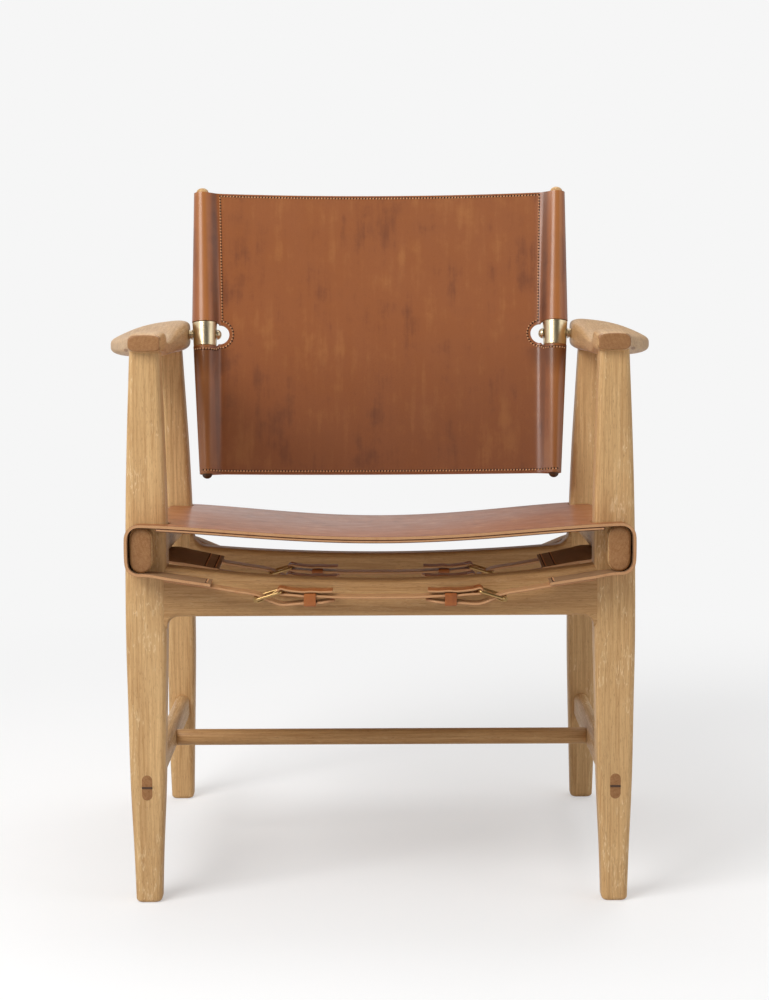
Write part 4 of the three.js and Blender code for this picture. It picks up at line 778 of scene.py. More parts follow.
# name, depth and flap of each row
STRAP_ROWS = (("front", ROW_Y[0], 0), ("mid_front", MIDDLE_FLAP_Y - MIDDLE_SPACING / 2, 1),
              ("mid_rear", MIDDLE_FLAP_Y + MIDDLE_SPACING / 2, 1), ("rear", ROW_Y[2], 2))


def row_height(band):
    """Height of a flap's end, which its straps are drawn about."""
    return float(flap_root(ROW_Y[band])) - FLAP_DROPS[band]


# Back

def upright_radius(z):
    """An upright's radius: straight tapers below the collar, in it and above it."""
    return np.interp(z, [-UPRIGHT_BOTTOM, -COLLAR_HALF, COLLAR_HALF, UPRIGHT_TOP], UPRIGHT_RADII)


def upright_shape():
    """A slender tapered rod with domed ends, its foot painted dark as painted shade."""
    low, high = -UPRIGHT_BOTTOM + UPRIGHT_DOME, UPRIGHT_TOP - UPRIGHT_DOME
    foot = dome(UPRIGHT_RADII[0], low, -UPRIGHT_DOME, 0.08, 9)
    head = dome(UPRIGHT_RADII[3], high, UPRIGHT_DOME, 0.08, 9)[::-1]
    z = np.linspace(low + UPRIGHT_DOME, high - UPRIGHT_DOME, 30)
    sides = 48
    profile = np.vstack([foot, np.column_stack([upright_radius(z), z]), head])
    points, faces = lathe(profile, 2, sides)
    # painted shade: the domed foot and its middle get the dark wood, where the back's lower end
    # lies in shade
    dark = np.zeros(sum(map(len, faces)), int)
    dark[:sides * 8] = 1  # the domed foot
    dark[-2 * sides:-sides] = 1  # and its middle
    return tilt_back(onto_upright(points)), faces, dark


def collar_shape():
    """A tube wall with eased ends round the upright at its pivot."""
    loops = []
    turn = np.linspace(0, 2 * math.pi, 72, endpoint=False)
    outer = [(COLLAR_WALL - COLLAR_EASE, COLLAR_HALF), (COLLAR_WALL, COLLAR_HALF - COLLAR_EASE)]
    inner = [(COLLAR_LIP, COLLAR_HALF), (0, COLLAR_HALF - COLLAR_LIP)]
    for wall, z in (*((wall, -z) for wall, z in outer), *outer[::-1], *inner,
                    *((wall, -z) for wall, z in inner[::-1])):
        radius = upright_radius(z) + FIT + wall
        loops.append(points_at(radius * np.cos(turn), radius * np.sin(turn), z))
    points, faces = ring_body(np.stack(loops))
    return tilt_back(onto_upright(points)), faces


def arm_face():
    """Inner face of the arm beside the pivot."""
    along = (PIVOT_Y - ARM_FRONT) / ARM_LENGTH
    return ARM_X - ARM_INNER * float(smooth(ARM_ROWS, 2)(along))


def bolt_shapes():
    """A domed bolt through the collar into the arm, and three washers of two sizes."""
    reach = float(upright_radius(0)) + FIT + COLLAR_WALL
    head, end = UPRIGHT_X - reach - PIVOT_GAP, arm_face() + BOLT_DEPTH
    bolt = lathe(np.vstack([dome(BOLT_HEAD, head, -BOLT_DOME),
                            [(BOLT_HEAD, head - 0.2), (BOLT_SHANK, head), (BOLT_SHANK, end - 1),
                             (BOLT_SHANK - 1, end)]]), 0, 48)
    start, stop = UPRIGHT_X + reach + PIVOT_GAP, arm_face() - FIT
    third = (stop - start) / len(WASHERS)
    rings = []
    for k, radius in enumerate(WASHERS):
        a, b = start + k * third, start + (k + 1) * third
        rings.append(lathe([(radius - 0.4, a), (radius, a + 0.4), (radius, b - 0.4),
                            (radius - 0.4, b)], 0, 48))
    return [moved(part, PIVOT_Y, PIVOT_Z) for part in [bolt, *rings]]


def sleeve_at(z):
    """A sleeve's middle and the radius of the middle of its leather, at a height."""
    return UPRIGHT_X + z * math.tan(LEAN), upright_radius(z) + FIT + BACK_LAYER


def panel_depth(x, side):
    """Depth of the panel's face between the seams: a parabola."""
    return BACK_BOW * (1 - (x / UPRIGHT_X) ** 2) + side * BACK_LAYER


def back_face(x, z, side):
    """Depth of one face of the back's leather, side -1 in front and 1 behind. Inboard it is a
    shallow bow; from the seam it runs straight to touch the sleeve's circle."""
    centre, radius = sleeve_at(z)
    x = np.abs(x)
    seam_x, seam_y, touch_x, touch_y = sleeve_touch(z, side)
    line = seam_y + (touch_y - seam_y) * (x - seam_x) / (touch_x - seam_x)
    inside = np.sqrt(np.maximum(0, radius ** 2 - (x - centre) ** 2))
    return np.where(x < seam_x, panel_depth(x, side),
                    np.where(x < touch_x, line, side * inside))


def sleeve_touch(z, side):
    """The seam's place and the point where a line from it touches the sleeve's circle."""
    centre, radius = sleeve_at(z)
    seam_x = centre - SEAM_INSET
    seam_y = panel_depth(seam_x, side)
    away = np.hypot(SEAM_INSET, seam_y)
    turn = np.arctan2(-seam_y, SEAM_INSET) + side * np.arcsin(np.minimum(0.999, radius / away))
    length = np.sqrt(np.maximum(1, away ** 2 - radius ** 2))
    return seam_x, seam_y, seam_x + length * np.cos(turn), seam_y + length * np.sin(turn)


def back_shape():
    """The back's leather as rings up its height: across the front face, tangent onto the sleeve,
    round it, and back across the rear face."""
    z = np.unique(np.concatenate([np.linspace(-LEATHER_BOTTOM + 1, LEATHER_TOP - 1, 150),
                                  np.linspace(-24, 24, 40)]))[:, None]
    centre, radius = sleeve_at(z)
    share = np.linspace(0, 1, 60)[None]
    lines = {}
    for side in (-1, 1):
        seam_x, seam_y, touch_x, touch_y = sleeve_touch(z, side)
        panel = np.stack([seam_x * share, panel_depth(seam_x * share, side)], -1)
        step = np.linspace(0, 1, 8)[None, 1:]
        line = np.stack([seam_x + (touch_x - seam_x) * step,
                         seam_y + (touch_y - seam_y) * step], -1)
        lines[side] = (np.concatenate([panel, line], 1), np.arctan2(touch_y, touch_x - centre))
    arc_share = np.linspace(0, 1, 42)[None, 1:-1]
    angle = lines[-1][1] + (lines[1][1] - lines[-1][1]) * arc_share
    arc = np.stack([centre + radius * np.cos(angle), radius * np.sin(angle)], -1)
    right = np.concatenate([lines[-1][0], arc, lines[1][0][:, ::-1]], 1)
    left = right[:, ::-1] * np.array([-1, 1])
    ring = np.concatenate([right, left[:, 1:-1]], 1)
    for _ in range(2):
        ring = (np.roll(ring, 1, 1) + 2 * ring + np.roll(ring, -1, 1)) / 4
    rings = points_at(ring[..., 0], ring[..., 1], z - back_dip(ring[..., 0], z))
    # Each end is closed by quads between facing points of the front and rear faces
    count, around, _ = rings.shape
    rear = around // 2
    i = np.arange(rear // 2)
    right = np.stack([i + 1, i, rear - i, rear - 1 - i], 1)
    left = np.stack([(around - i) % around, around - 1 - i, rear + 1 + i, rear + i], 1)
    cap = np.vstack([right, left])
    points = tilt_back(rings).reshape(-1, 3)
    return outward(points, [grid_faces(count, around), cap,
                            cap[:, ::-1] + (count - 1) * around])


def back_dip(x, z):
    """How far the leather's top edge dips in the middle: a parabola that fades downwards."""
    fade = np.clip(z / LEATHER_TOP, 0, 1) ** 3
    return np.maximum(0, BACK_DIP * (1 - (x / UPRIGHT_X) ** 2)) * fade


def eye_shape():
    """The opening beside a collar: a half circle towards the middle, widening in a bend to the
    notch that runs straight out past the sleeve, as a bar through the leather."""
    angle = np.linspace(math.pi / 2, 3 * math.pi / 2, 33)
    inner = np.column_stack([EYE_START + EYE_RADIUS * np.cos(angle), EYE_RADIUS * np.sin(angle)])
    low = np.array([(EYE_START + 0.5, -EYE_RADIUS), (EYE_START + 1.2, -EYE_BEND),
                    (EYE_START + 3, -NOTCH_HALF), (EYE_REACH, -NOTCH_HALF)])
    outline = np.vstack([inner, low, low[::-1] * [1, -1]])
    return loft(points_at(outline[:, 0], np.array([[-EYE_DEPTH], [EYE_DEPTH]]), outline[:, 1]))


def bore_shape():
    """The rod cut out of the leather for an upright, a fit wider than the upright."""
    z = np.linspace(-LEATHER_BOTTOM - 12, LEATHER_TOP + 12, 40)
    radius = upright_radius(np.clip(z, -UPRIGHT_BOTTOM, UPRIGHT_TOP)) + FIT
    points, faces = lathe(np.column_stack([radius, z]), 2, 64)
    return tilt_back(onto_upright(points)), faces


# Stitching

def rows_of_stitches(line, out, pitch, length, radius):
    """Capsules of thread at even steps along a line: rings of six points whose radius swells
    and whose middle arches off the surface, with a small dark capsule between each two, painted
    shade for a needle hole."""
    run = np.concatenate([[0], np.cumsum(np.linalg.norm(np.diff(line, axis=0), axis=1))])
    count = max(2, int(round(run[-1] / pitch)))
    step = run[-1] / count

    def at(place, rows):
        return np.column_stack([np.interp(place, run, rows[:, c]) for c in range(3)])

    def beads(place, long, wide, lift, rise, slant=0.0, aside=0.0):
        centre, up = at(place, line), at(place, out)
        ahead = at(np.minimum(place + 0.5, run[-1]), line) - at(np.maximum(place - 0.5, 0), line)
        ahead /= np.linalg.norm(ahead, axis=1)[:, None]
        up -= ahead * (up * ahead).sum(1)[:, None]
        up /= np.linalg.norm(up, axis=1)[:, None]
        across = np.cross(up, ahead)
        centre += across * aside
        ahead, across = ahead + across * slant, across - ahead * slant
        along = np.array([-1, -0.72, 0, 0.72, 1]) * long / 2
        thick = np.array([0.35, 0.95, 1, 0.95, 0.35]) * wide
        arch = lift + rise * np.array([-0.9, 0, 0.35, 0, -0.9])
        turn = np.linspace(0, 2 * math.pi, 6, endpoint=False)
        v = thick[:, None] * np.cos(turn)
        w = arch[:, None] + thick[:, None] * np.sin(turn) * 0.8
        points = (centre[:, None, None] + ahead[:, None, None] * along[:, None, None]
                  + across[:, None, None] * v[..., None] + up[:, None, None] * w[..., None])
        start = (np.arange(len(place)) * 30)[:, None, None]
        sides = (grid_faces(5, 6)[None] + start).reshape(-1, 4)
        ends = (np.array([np.arange(6)[::-1], np.arange(24, 30)])[None] + start).reshape(-1, 6)
        return outward(points.reshape(-1, 3), [sides, ends])
    thread = beads((np.arange(count) + 0.5) * step, length, radius, 0.1 * radius, radius, 0.22)
    # dark capsules on the leather: painted shade for the needle holes
    holes = beads(np.arange(count + 1) * step, step - length + 1.1 * radius, radius * 1.3,
                  -0.1 * radius, 0, 0.22, 0.8 * radius)
    faces = len(holes[1][0]) + len(holes[1][1])
    return [thread, (*holes, np.ones(faces, int))]


def back_row(x, z, side):
    """A line on the back's leather and its outward direction, from places about the pivots."""
    y = back_face(x, z, side)
    slope_x = (back_face(x + 0.2, z, side) - back_face(x - 0.2, z, side)) / 0.4
    slope_z = (back_face(x, z + 0.2, side) - back_face(x, z - 0.2, side)) / 0.4
    out = points_at(-side * slope_x, side, -side * slope_z)
    place = points_at(x, y, z - back_dip(x, z))
    origin = tilt_back(np.zeros(3))
    return tilt_back(place), tilt_back(out) - origin


def back_rows():
    """The back's stitch lines: along the top, down each seam, round each eye, over the top edge
    of the lower sleeves and along the bottom."""
    def seam(z):
        return UPRIGHT_X + z * math.tan(LEAN) - SEAM_INSET - STITCH_INSET / 2
    high, low = LEATHER_TOP - STITCH_INSET, -LEATHER_BOTTOM + STITCH_INSET
    top = seam(high)
    lines = [(np.linspace(-top, top, 200), np.full(200, high), False)]
    ring = EYE_RADIUS + STITCH_INSET
    start = np.arcsin(np.clip((EYE_START - seam(ring)) / ring, -1, 1))
    z = np.linspace(high, ring * np.cos(start), 90)
    lines.append((seam(z), z, True))
    angle = np.linspace(math.pi / 2 + start, 3 * math.pi / 2, 40)
    lines.append((EYE_START + ring * np.cos(angle), ring * np.sin(angle), True))
    sleeve_low = -NOTCH_HALF - STITCH_INSET
    x = np.linspace(EYE_START, UPRIGHT_X + 13, 50)
    lines.append((x, np.interp(x, [EYE_START, EYE_START + 4], [-ring, sleeve_low]), True))
    x = np.linspace(-UPRIGHT_X, UPRIGHT_X, 240)
    lines.append((x, np.full(240, low), False))
    for x, z, both in lines:
        for side in (-1, 1):
            line, out = back_row(x, z, side)
            yield line, out
            if both:
                yield line * [-1, 1, 1], out * [-1, 1, 1]


def flap_row(band, x, y, out):
    """A line on a flap's underside (out -1) or the face over it (out 1)."""
    row_y, drop = ROW_Y[band], FLAP_DROPS[band]
    rail_x = rail_at(row_y)[0]
    z = float(flap_root(row_y)) - flap_drop(x, rail_x, drop)
    slope = (flap_drop(x + 0.5, rail_x, drop) - flap_drop(x - 0.5, rail_x, drop))
    up = points_at(slope, 0, 1) * out
    up /= np.linalg.norm(up, axis=1)[:, None]
    return points_at(x, y, z) + up * HIDE / 2, up


def seat_rows():
    """Stitch lines on the flaps: two across the middle flap's end, and one across each small
    flap, on the face below and the face above."""
    for band, insets, wide in ((1, (STITCH_INSET, 17.0), 2 * MIDDLE_FLAP_HALVES[-1]),
                               (0, (STITCH_INSET,), SEAT_LINES[1] - SEAT_LINES[0]),
                               (2, (STITCH_INSET,), SEAT_LINES[5] - SEAT_LINES[4])):
        half = wide / 2 - 4
        for step in insets:
            y = np.linspace(ROW_Y[band] - half, ROW_Y[band] + half, 60)
            x = np.full(60, FLAP_ENDS[band] + step)
            for out in (-1, 1):
                line, up = flap_row(band, x, y, out)
                yield line, up
                yield line * [-1, 1, 1], up * [-1, 1, 1]


# Finishes

def colour(red, green, blue):
    """A screen colour, 0 to 255, as the linear one that Blender works in."""
    share = np.array([red, green, blue]) / 255
    return tuple(float(v) for v in np.where(share <= 0.04045, share / 12.92,
                                            ((share + 0.055) / 1.055) ** 2.4))


def feed(tree, inputs, values):
    """Gives sockets their values: numbers, colours, or outputs to link to them."""
    for key, value in values.items():
        if isinstance(value, bpy.types.NodeSocket):
            tree.links.new(value, inputs[key])
        elif inputs[key].type == "RGBA":
            inputs[key].default_value = (*value[:3], 1)
        else:
            inputs[key].default_value = value


def put(tree, kind, values=None, **settings):
    """Adds a shader node with its settings and its sockets' values."""
    node = tree.nodes.new(f"ShaderNode{kind}")
    for key, value in settings.items():
        setattr(node, key, value)
    feed(tree, node.inputs, values or {})
    return node


def calc(tree, operation, *values, clamp=False):
    """A Math node's result."""
    return put(tree, "Math", dict(enumerate(values)), operation=operation,
               use_clamp=clamp).outputs[0]


def times(tree, first, second):
    """A product."""
    return calc(tree, "MULTIPLY", first, second)


def times_plus(tree, first, second, base, clamp=False):
    """A product added to a base."""
    return calc(tree, "MULTIPLY_ADD", first, second, base, clamp=clamp)


def noise(tree, place, scale, detail=2.0, rough=0.5, stretch=(1, 1, 1)):
    """Noise on a place that is stretched first, about 0 to 1."""
    drawn = put(tree, "VectorMath", {0: place, 1: stretch}, operation="MULTIPLY")
    return put(tree, "TexNoise", {"Vector": drawn.outputs[0], "Scale": scale,
                                            "Detail": detail, "Roughness": rough}).outputs[0]


def ramp(tree, value, low, high, soft=True, to=(0.0, 1.0)):
    """Maps low..high onto a range, with soft ends."""
    return put(tree, "MapRange", {0: value, 1: low, 2: high, 3: to[0], 4: to[1]},
               interpolation_type="SMOOTHSTEP" if soft else "LINEAR").outputs[0]


def sway(tree, value, strength, base=0.0):
    """A base moved up and down by noise about its middle."""
    return times_plus(tree, calc(tree, "SUBTRACT", value, 0.5), strength, base)


def mix(tree, share, first, second, blend="MIX"):
    """A colour between two, or their blend."""
    return put(tree, "Mix", {0: share, 6: first, 7: second}, data_type="RGBA",
               blend_type=blend).outputs[2]


def new_group(name, inputs, outputs):
    """A shared effect with named sockets, its entry and its exit."""
    tree = bpy.data.node_groups.new(name, "ShaderNodeTree")
    for label, kind, value in inputs:
        socket = tree.interface.new_socket(label, in_out="INPUT",
                                           socket_type=f"NodeSocket{kind}")
        socket.default_value = value
    for label, kind in outputs:
        tree.interface.new_socket(label, in_out="OUTPUT", socket_type=f"NodeSocket{kind}")
    return (tree, tree.nodes.new("NodeGroupInput").outputs,
            tree.nodes.new("NodeGroupOutput").inputs)


def millimetres(tree, place):
    """A place in millimetres, which the patterns are drawn in."""
    return put(tree, "VectorMath", {0: place, 3: 1000.0}, operation="SCALE").outputs[0]


def along_grain(tree, place, way, start=(0, 0, 0)):
    """A place turned so that the grain runs along its Z."""
    return put(tree, "Mapping", {"Vector": place, "Rotation": GRAIN_TURNS[way],
                                           "Location": start}).outputs[0]


def dents(tree, shader, height, strength, distance):
    """Bumps on the shader's surface, their height in millimetres."""
    bump = put(tree, "Bump", {"Height": height, "Strength": strength,
                                        "Distance": distance * MM})
    tree.links.new(bump.outputs[0], shader.inputs["Normal"])


def oak_figure():
    """Oak as a solid pattern, its grain along Z: growth rings about an axis outside the piece,
    fine fibres and long pores, and lighter flecks of ray where a face runs along them."""
    if "oak figure" in bpy.data.node_groups:
        return bpy.data.node_groups["oak figure"]
    tree, given, out = new_group("oak figure", [
        ("Place", "Vector", (0, 0, 0)), ("Early wood", "Color", (0.6, 0.4, 0.22, 1)),
        ("Late wood", "Color", (0.4, 0.25, 0.12, 1)), ("Fleck", "Color", (0.7, 0.5, 0.3, 1)),
        ("Ring width", "Float", 3.6), ("Figure", "Float", 1.0)],
        [("Color", "Color"), ("Roughness", "Float"), ("Height", "Float")])
    place = millimetres(tree, given["Place"])
    wander = noise(tree, place, 0.011, 3, 0.5, (1, 1, 0.16))
    ripple = noise(tree, place, 0.06, 3, 0.55, (1, 1, 0.1))
    flat = put(tree, "VectorMath", {0: place, 1: (1, 1, 0)}, operation="MULTIPLY")
    heart = put(tree, "VectorMath", {0: flat.outputs[0], 1: (-34, 155, 0)},
                operation="ADD")
    away = put(tree, "VectorMath", {0: heart.outputs[0]}, operation="LENGTH")
    away = times_plus(tree, wander, 46.0, away.outputs["Value"])
    away = times_plus(tree, ripple, 7.0, away)
    ring = calc(tree, "FRACT", calc(tree, "DIVIDE", away, given["Ring width"]))
    late = times(tree, ramp(tree, ring, 0.25, 0.9), ramp(tree, ring, 1.0, 0.93))
    fibre = noise(tree, place, 1.1, 4, 0.62, (1, 1, 0.022))
    streak = noise(tree, place, 0.26, 3, 0.5, (1, 1, 0.018))
    pore = noise(tree, place, 1.9, 2, 0.5, (1, 1, 0.075))
    pore = times(tree, ramp(tree, pore, 0.585, 0.68), ramp(tree, ring, 0.75, 0.1, to=(0.6, 1.0)))
    fleck = noise(tree, place, 0.18, 3, 0.6, (0.8, 1.6, 0.12))
    fleck = calc(tree, "ABSOLUTE", calc(tree, "SUBTRACT", fleck, 0.5))
    patch = noise(tree, place, 0.05, 3, 0.6, (1, 1, 0.4))
    fleck = times(tree, ramp(tree, fleck, 0.022, 0.006), ramp(tree, patch, 0.5, 0.6))
    fleck = times(tree, fleck, given["Figure"])
    cloud = noise(tree, place, 0.014, 3, 0.55, (1, 1, 0.35))
    share = times_plus(tree, late, 0.15, times(tree, fibre, 1.3))
    share = times_plus(tree, streak, 0.9, calc(tree, "SUBTRACT", share, 0.79), clamp=True)
    tone = mix(tree, share, given["Early wood"], given["Late wood"])
    tone = mix(tree, times(tree, fleck, 0.55), tone, given["Fleck"])
    deep = mix(tree, 1.0, tone, (0.5, 0.42, 0.34), "MULTIPLY")
    tone = mix(tree, times(tree, pore, 0.62), tone, deep)
    light = ramp(tree, cloud, 0.3, 0.7, False, (0.93, 1.07))
    rough = times_plus(tree, pore, 0.2, ramp(tree, fibre, 0.3, 0.7, False, (0.4, 0.52)))
    feed(tree, out, {
        "Color": put(tree, "HueSaturation", {"Value": light, "Color": tone}).outputs[0],
        "Roughness": times_plus(tree, fleck, -0.08, rough),
        "Height": times_plus(tree, pore, -1.0, times(tree, fibre, 0.5))})
    return tree


def hide_grain():
    """Leather as a solid pattern: slow mottling and clouds of dye, a fine pebbled grain of cells,
    pores, and faint drawn streaks along Z; a painted shade and a painted highlight, given from
    outside, darken and lighten it."""
    if "hide grain" in bpy.data.node_groups:
        return bpy.data.node_groups["hide grain"]
    tree, given, out = new_group("hide grain", [
        ("Place", "Vector", (0, 0, 0)), ("Tone", "Color", (0.3, 0.1, 0.05, 1)),
        ("Deep", "Color", (0.15, 0.05, 0.02, 1)), ("Pale", "Color", (0.4, 0.18, 0.09, 1)),
        ("Grain", "Float", 1.0), ("Mottle", "Float", 1.0), ("Gloss", "Float", 0.35),
        ("Painted shade", "Float", 0.0), ("Painted highlight", "Float", 0.0)],
        [("Color", "Color"), ("Roughness", "Float"), ("Height", "Float")])
    place = millimetres(tree, given["Place"])
    slow = noise(tree, place, 0.011, 4, 0.58)
    cloud = noise(tree, place, 0.034, 4, 0.6, (1, 1, 0.8))
    streak = noise(tree, place, 0.09, 3, 0.6, (1, 1, 0.09))
    fine = noise(tree, place, 0.9, 3, 0.6)
    bend = put(tree, "VectorMath", {0: put(tree, "TexNoise", {
        "Vector": place, "Scale": 0.5}).outputs["Color"], 1: (0.8, 0.8, 0.8), 2: place},
        operation="MULTIPLY_ADD")
    size = calc(tree, "DIVIDE", 1.0, given["Grain"])
    cell = put(tree, "TexVoronoi", {"Vector": bend.outputs[0], "Scale": size,
                                              "Smoothness": 0.35}, feature="SMOOTH_F1")
    pore = put(tree, "TexVoronoi", {"Vector": bend.outputs[0], "Scale": 0.42})
    pore = ramp(tree, pore.outputs["Distance"], 0.16, 0.06)
    share = sway(tree, streak, 2.2, sway(tree, cloud, 2.3, sway(tree, slow, 2.6)))
    share = times(tree, share, given["Mottle"])
    dark = times(tree, ramp(tree, share, 0.05, 1.1), 0.75)
    pale = times(tree, ramp(tree, share, -0.05, -1.1), 0.75)
    tone = mix(tree, dark, given["Tone"], given["Deep"])
    tone = mix(tree, pale, tone, given["Pale"])
    speck = times(tree, ramp(tree, fine, 0.42, 0.72), 0.22)
    tone = mix(tree, speck, tone, given["Deep"])
    # painted highlight given from outside lightens the tone towards a paler copy
    light = mix(tree, 1.0, given["Pale"], (1.12, 1.16, 1.16), "MULTIPLY")
    tone = mix(tree, given["Painted highlight"], tone, light)
    # painted shade given from outside darkens the tone here
    shaded_tone = mix(tree, 1.0, tone, (0.42, 0.38, 0.36), "MULTIPLY")
    tone = mix(tree, given["Painted shade"], tone, shaded_tone)
    tone = mix(tree, times(tree, pore, 0.4), tone, given["Deep"])
    rough = sway(tree, fine, 0.12, sway(tree, cloud, 0.22, given["Gloss"]))
    height = times_plus(tree, cell.outputs["Distance"], 0.55, times(tree, fine, 0.25))
    feed(tree, out, {"Color": tone,
                     "Roughness": times_plus(tree, pore, 0.12, rough, clamp=True),
                     "Height": times_plus(tree, pore, -0.5, height)})
    return tree


def new_material(name, shown):
    """A material with its place on the object: its tree, shader and Object coordinates."""
    material = bpy.data.materials.new(name)
    material.use_nodes = True
    material.diffuse_color = (*shown[:3], 1)
    tree = material.node_tree
    shader = tree.nodes["Principled BSDF"]
    place = tree.nodes.new("ShaderNodeTexCoord").outputs["Object"]
    return material, tree, shader, place


def wear_group(tree, shader, group, values, strength, distance):
    """Places a shared effect and feeds its colour, roughness and height to the shader."""
    shown = put(tree, "Group", values, node_tree=group).outputs
    feed(tree, shader.inputs, {"Base Color": shown["Color"], "Roughness": shown["Roughness"]})
    dents(tree, shader, shown["Height"], strength, distance)


END_SHADE = (0.54, 0.42, 0.36)  # end grain, of the wood's own tones
# painted shade: the aprons and cross bar under the seat, and the polished arms, are painted
# darker
OAK_PAINTED_SHADE = {"oak wide": (0.81, 0.75, 0.7), "oak deep polished": (0.95, 0.93, 0.92)}
GRAIN_TURNS = {"up": (0, 0, 0), "deep": (math.pi / 2, 0, 0), "wide": (0, math.pi / 2, 0),
               "back": (TILT, 0, 0)}
TURNED_PIVOT_Z = 0.69  # the pivots' height in metres, in the turned back's coordinates


def oak(scene, way, end=False, coat=0.0):
    """Oiled oak with its grain up, along the chair's depth, across it, or up the tilted back.
    End grain is the same wood, darker and rougher; the aprons' and arms' copies are painted
    darker as painted shade."""
    name = f"oak {way}{' end' if end else ''}{' polished' if coat else ''}"
    if name in bpy.data.materials:
        return bpy.data.materials[name]
    c = scene.chair_colours
    # end grain's own darker tone, elsewhere the painted shade of some copies
    fade = END_SHADE if end else OAK_PAINTED_SHADE.get(name, (1, 1, 1))
    early, late, fleck = ([v * f for v, f in zip(tone, fade)]
                          for tone in (c.oak, c.oak_late, c.oak_fleck))
    material, tree, shader, place = new_material(name, early)
    turned = along_grain(tree, place, way, (0, 0.4 if way == "deep" else 0, 0))
    figure = 0.2 if end else 0.35 if way == "wide" else 1.0
    wear_group(tree, shader, oak_figure(), {
        "Place": turned, "Early wood": early, "Late wood": late, "Fleck": fleck,
        "Ring width": scene.chair_sizes.ring_width * 1000, "Figure": figure}, 0.35, 0.25)
    feed(tree, shader.inputs, {"Specular IOR Level": 0.28, "Coat Weight": coat,
                               "Coat Roughness": 0.3})
    return material


def dark_wood(scene):
    """The wedges' dark, dense wood, which also paints shade on the uprights' feet."""
    if "wedge wood and foot shade" in bpy.data.materials:
        return bpy.data.materials["wedge wood and foot shade"]
    tone = scene.chair_colours.wedge
    material, tree, shader, place = new_material("wedge wood and foot shade", tone)
    wear_group(tree, shader, oak_figure(), {
        "Place": along_grain(tree, place, "deep"), "Early wood": tone,
        "Late wood": [v * 0.6 for v in tone], "Fleck": tone, "Ring width": 1.4, "Figure": 0.0},
        0.3, 0.2)
    return material


def beside_upright(tree, axes, start):
    """Distance from a line that leans with the uprights, in the turned back's coordinates."""
    line = times_plus(tree, calc(tree, "SUBTRACT", axes["Z"], TURNED_PIVOT_Z),
                      math.tan(LEAN), start * MM)
    aside = calc(tree, "SUBTRACT", calc(tree, "ABSOLUTE", axes["X"]), line)
    return calc(tree, "ABSOLUTE", aside)


def back_painted_highlight(tree, place):
    """How much painted highlight the sleeves get: most along the line of the uprights' middles.
    """
    axes = put(tree, "SeparateXYZ", {0: place}).outputs
    return ramp(tree, beside_upright(tree, axes, UPRIGHT_X), 0.012, 0.002, to=(0.0, 0.7))


def back_painted_shade(tree, place):
    """Painted shade on the back: more of it slowly towards the bottom and in the folds beside the
    seams, and a painted shadow of the arms on the sleeves under the collars."""
    axes = put(tree, "SeparateXYZ", {0: place}).outputs
    # painted shade: darker towards the bottom, in the folds by the seams, and the arms' painted
    # shadow below the collars
    low = ramp(tree, axes["Z"], 0.74, 0.5, to=(0.0, 0.52))
    arm_shadow = times(tree, ramp(tree, axes["Z"], 0.676, 0.668), ramp(tree, axes["Z"], 0.61, 0.662))
    outside = ramp(tree, calc(tree, "ABSOLUTE", axes["X"]), 0.19, 0.228, to=(0.0, 0.85))
    arm_shadow = times(tree, arm_shadow, outside)
    away = beside_upright(tree, axes, UPRIGHT_X - SEAM_INSET + 5.5)
    fold = ramp(tree, away, 0.0065, 0.001, to=(0.0, 0.75))
    return calc(tree, "MAXIMUM", calc(tree, "MAXIMUM", low, fold), arm_shadow)


def leather(scene, name, tone, deep, pale, gloss, mottle=1.0, way="up", grain=1.0, bump=0.22,
            shine=0.5, coat=0.0, coat_rough=0.3):
    """Vegetable-tanned leather in one finish; on the back it carries painted shade and a painted
    highlight as well.
    """
    if name in bpy.data.materials:
        return bpy.data.materials[name]
    material, tree, shader, place = new_material(name, tone)
    turned = along_grain(tree, place, way)
    wear_group(tree, shader, hide_grain(), {
        "Place": turned, "Tone": tone, "Deep": deep, "Pale": pale,
        "Grain": scene.chair_sizes.grain * 1000 * grain, "Mottle": mottle, "Gloss": gloss,
        "Painted shade": back_painted_shade(tree, turned) if way == "back" else 0.0,
        "Painted highlight": back_painted_highlight(tree, turned) if way == "back" else 0.0}, bump, 0.12)
    feed(tree, shader.inputs, {"Specular Tint": (1.0, 0.96, 0.9), "Specular IOR Level": shine,
                               "Coat Weight": coat, "Coat Roughness": coat_rough})
    return material


def saddle(scene, way="up"):
    """The leather's grain side: waxed on the back, polished by use on the seat, whose copy, also
    on the straps, is painted lighter as painted light for the seat's sheen.
    """
    c = scene.chair_colours
    # painted light: the seat's copy is 14% lighter than the back's
    lift, shine, coat, coat_rough = ((1.0, 0.35, 0.5, 0.2) if way == "back"
                                     else (1.14, 0.25, 0.28, 0.17))
    tones = [[v * lift for v in tone] for tone in (c.saddle, c.saddle_deep, c.saddle_pale)]
    return leather(scene, f"saddle leather {way}", *tones, 0.4, 1.0, way, shine=shine,
                   coat=coat, coat_rough=coat_rough)


def cut_edge(scene):
    """The raw edge of the hide, its fibres open."""
    c = scene.chair_colours
    return leather(scene, "cut edge", c.cut_edge, c.saddle, c.cut_edge, 0.6, 0.6, grain=0.5,
                   bump=0.5)


def burnish(scene):
    """The dark line that a burnishing tool leaves along a cut edge."""
    c = scene.chair_colours
    return leather(scene, "burnished edge", [v * 0.7 for v in c.saddle_deep],
                   [v * 0.4 for v in c.saddle_deep], c.saddle_deep, 0.4, 0.8, grain=0.5)


def lining(scene):
    """The flesh side and the second layer: paler, dry and fibrous."""
    c = scene.chair_colours
    deep = [v * 0.6 for v in c.lining]
    return leather(scene, "lining leather", c.lining, deep, [v * 1.35 for v in c.lining], 0.62,
                   0.8, grain=0.7, bump=0.4, shine=0.25)


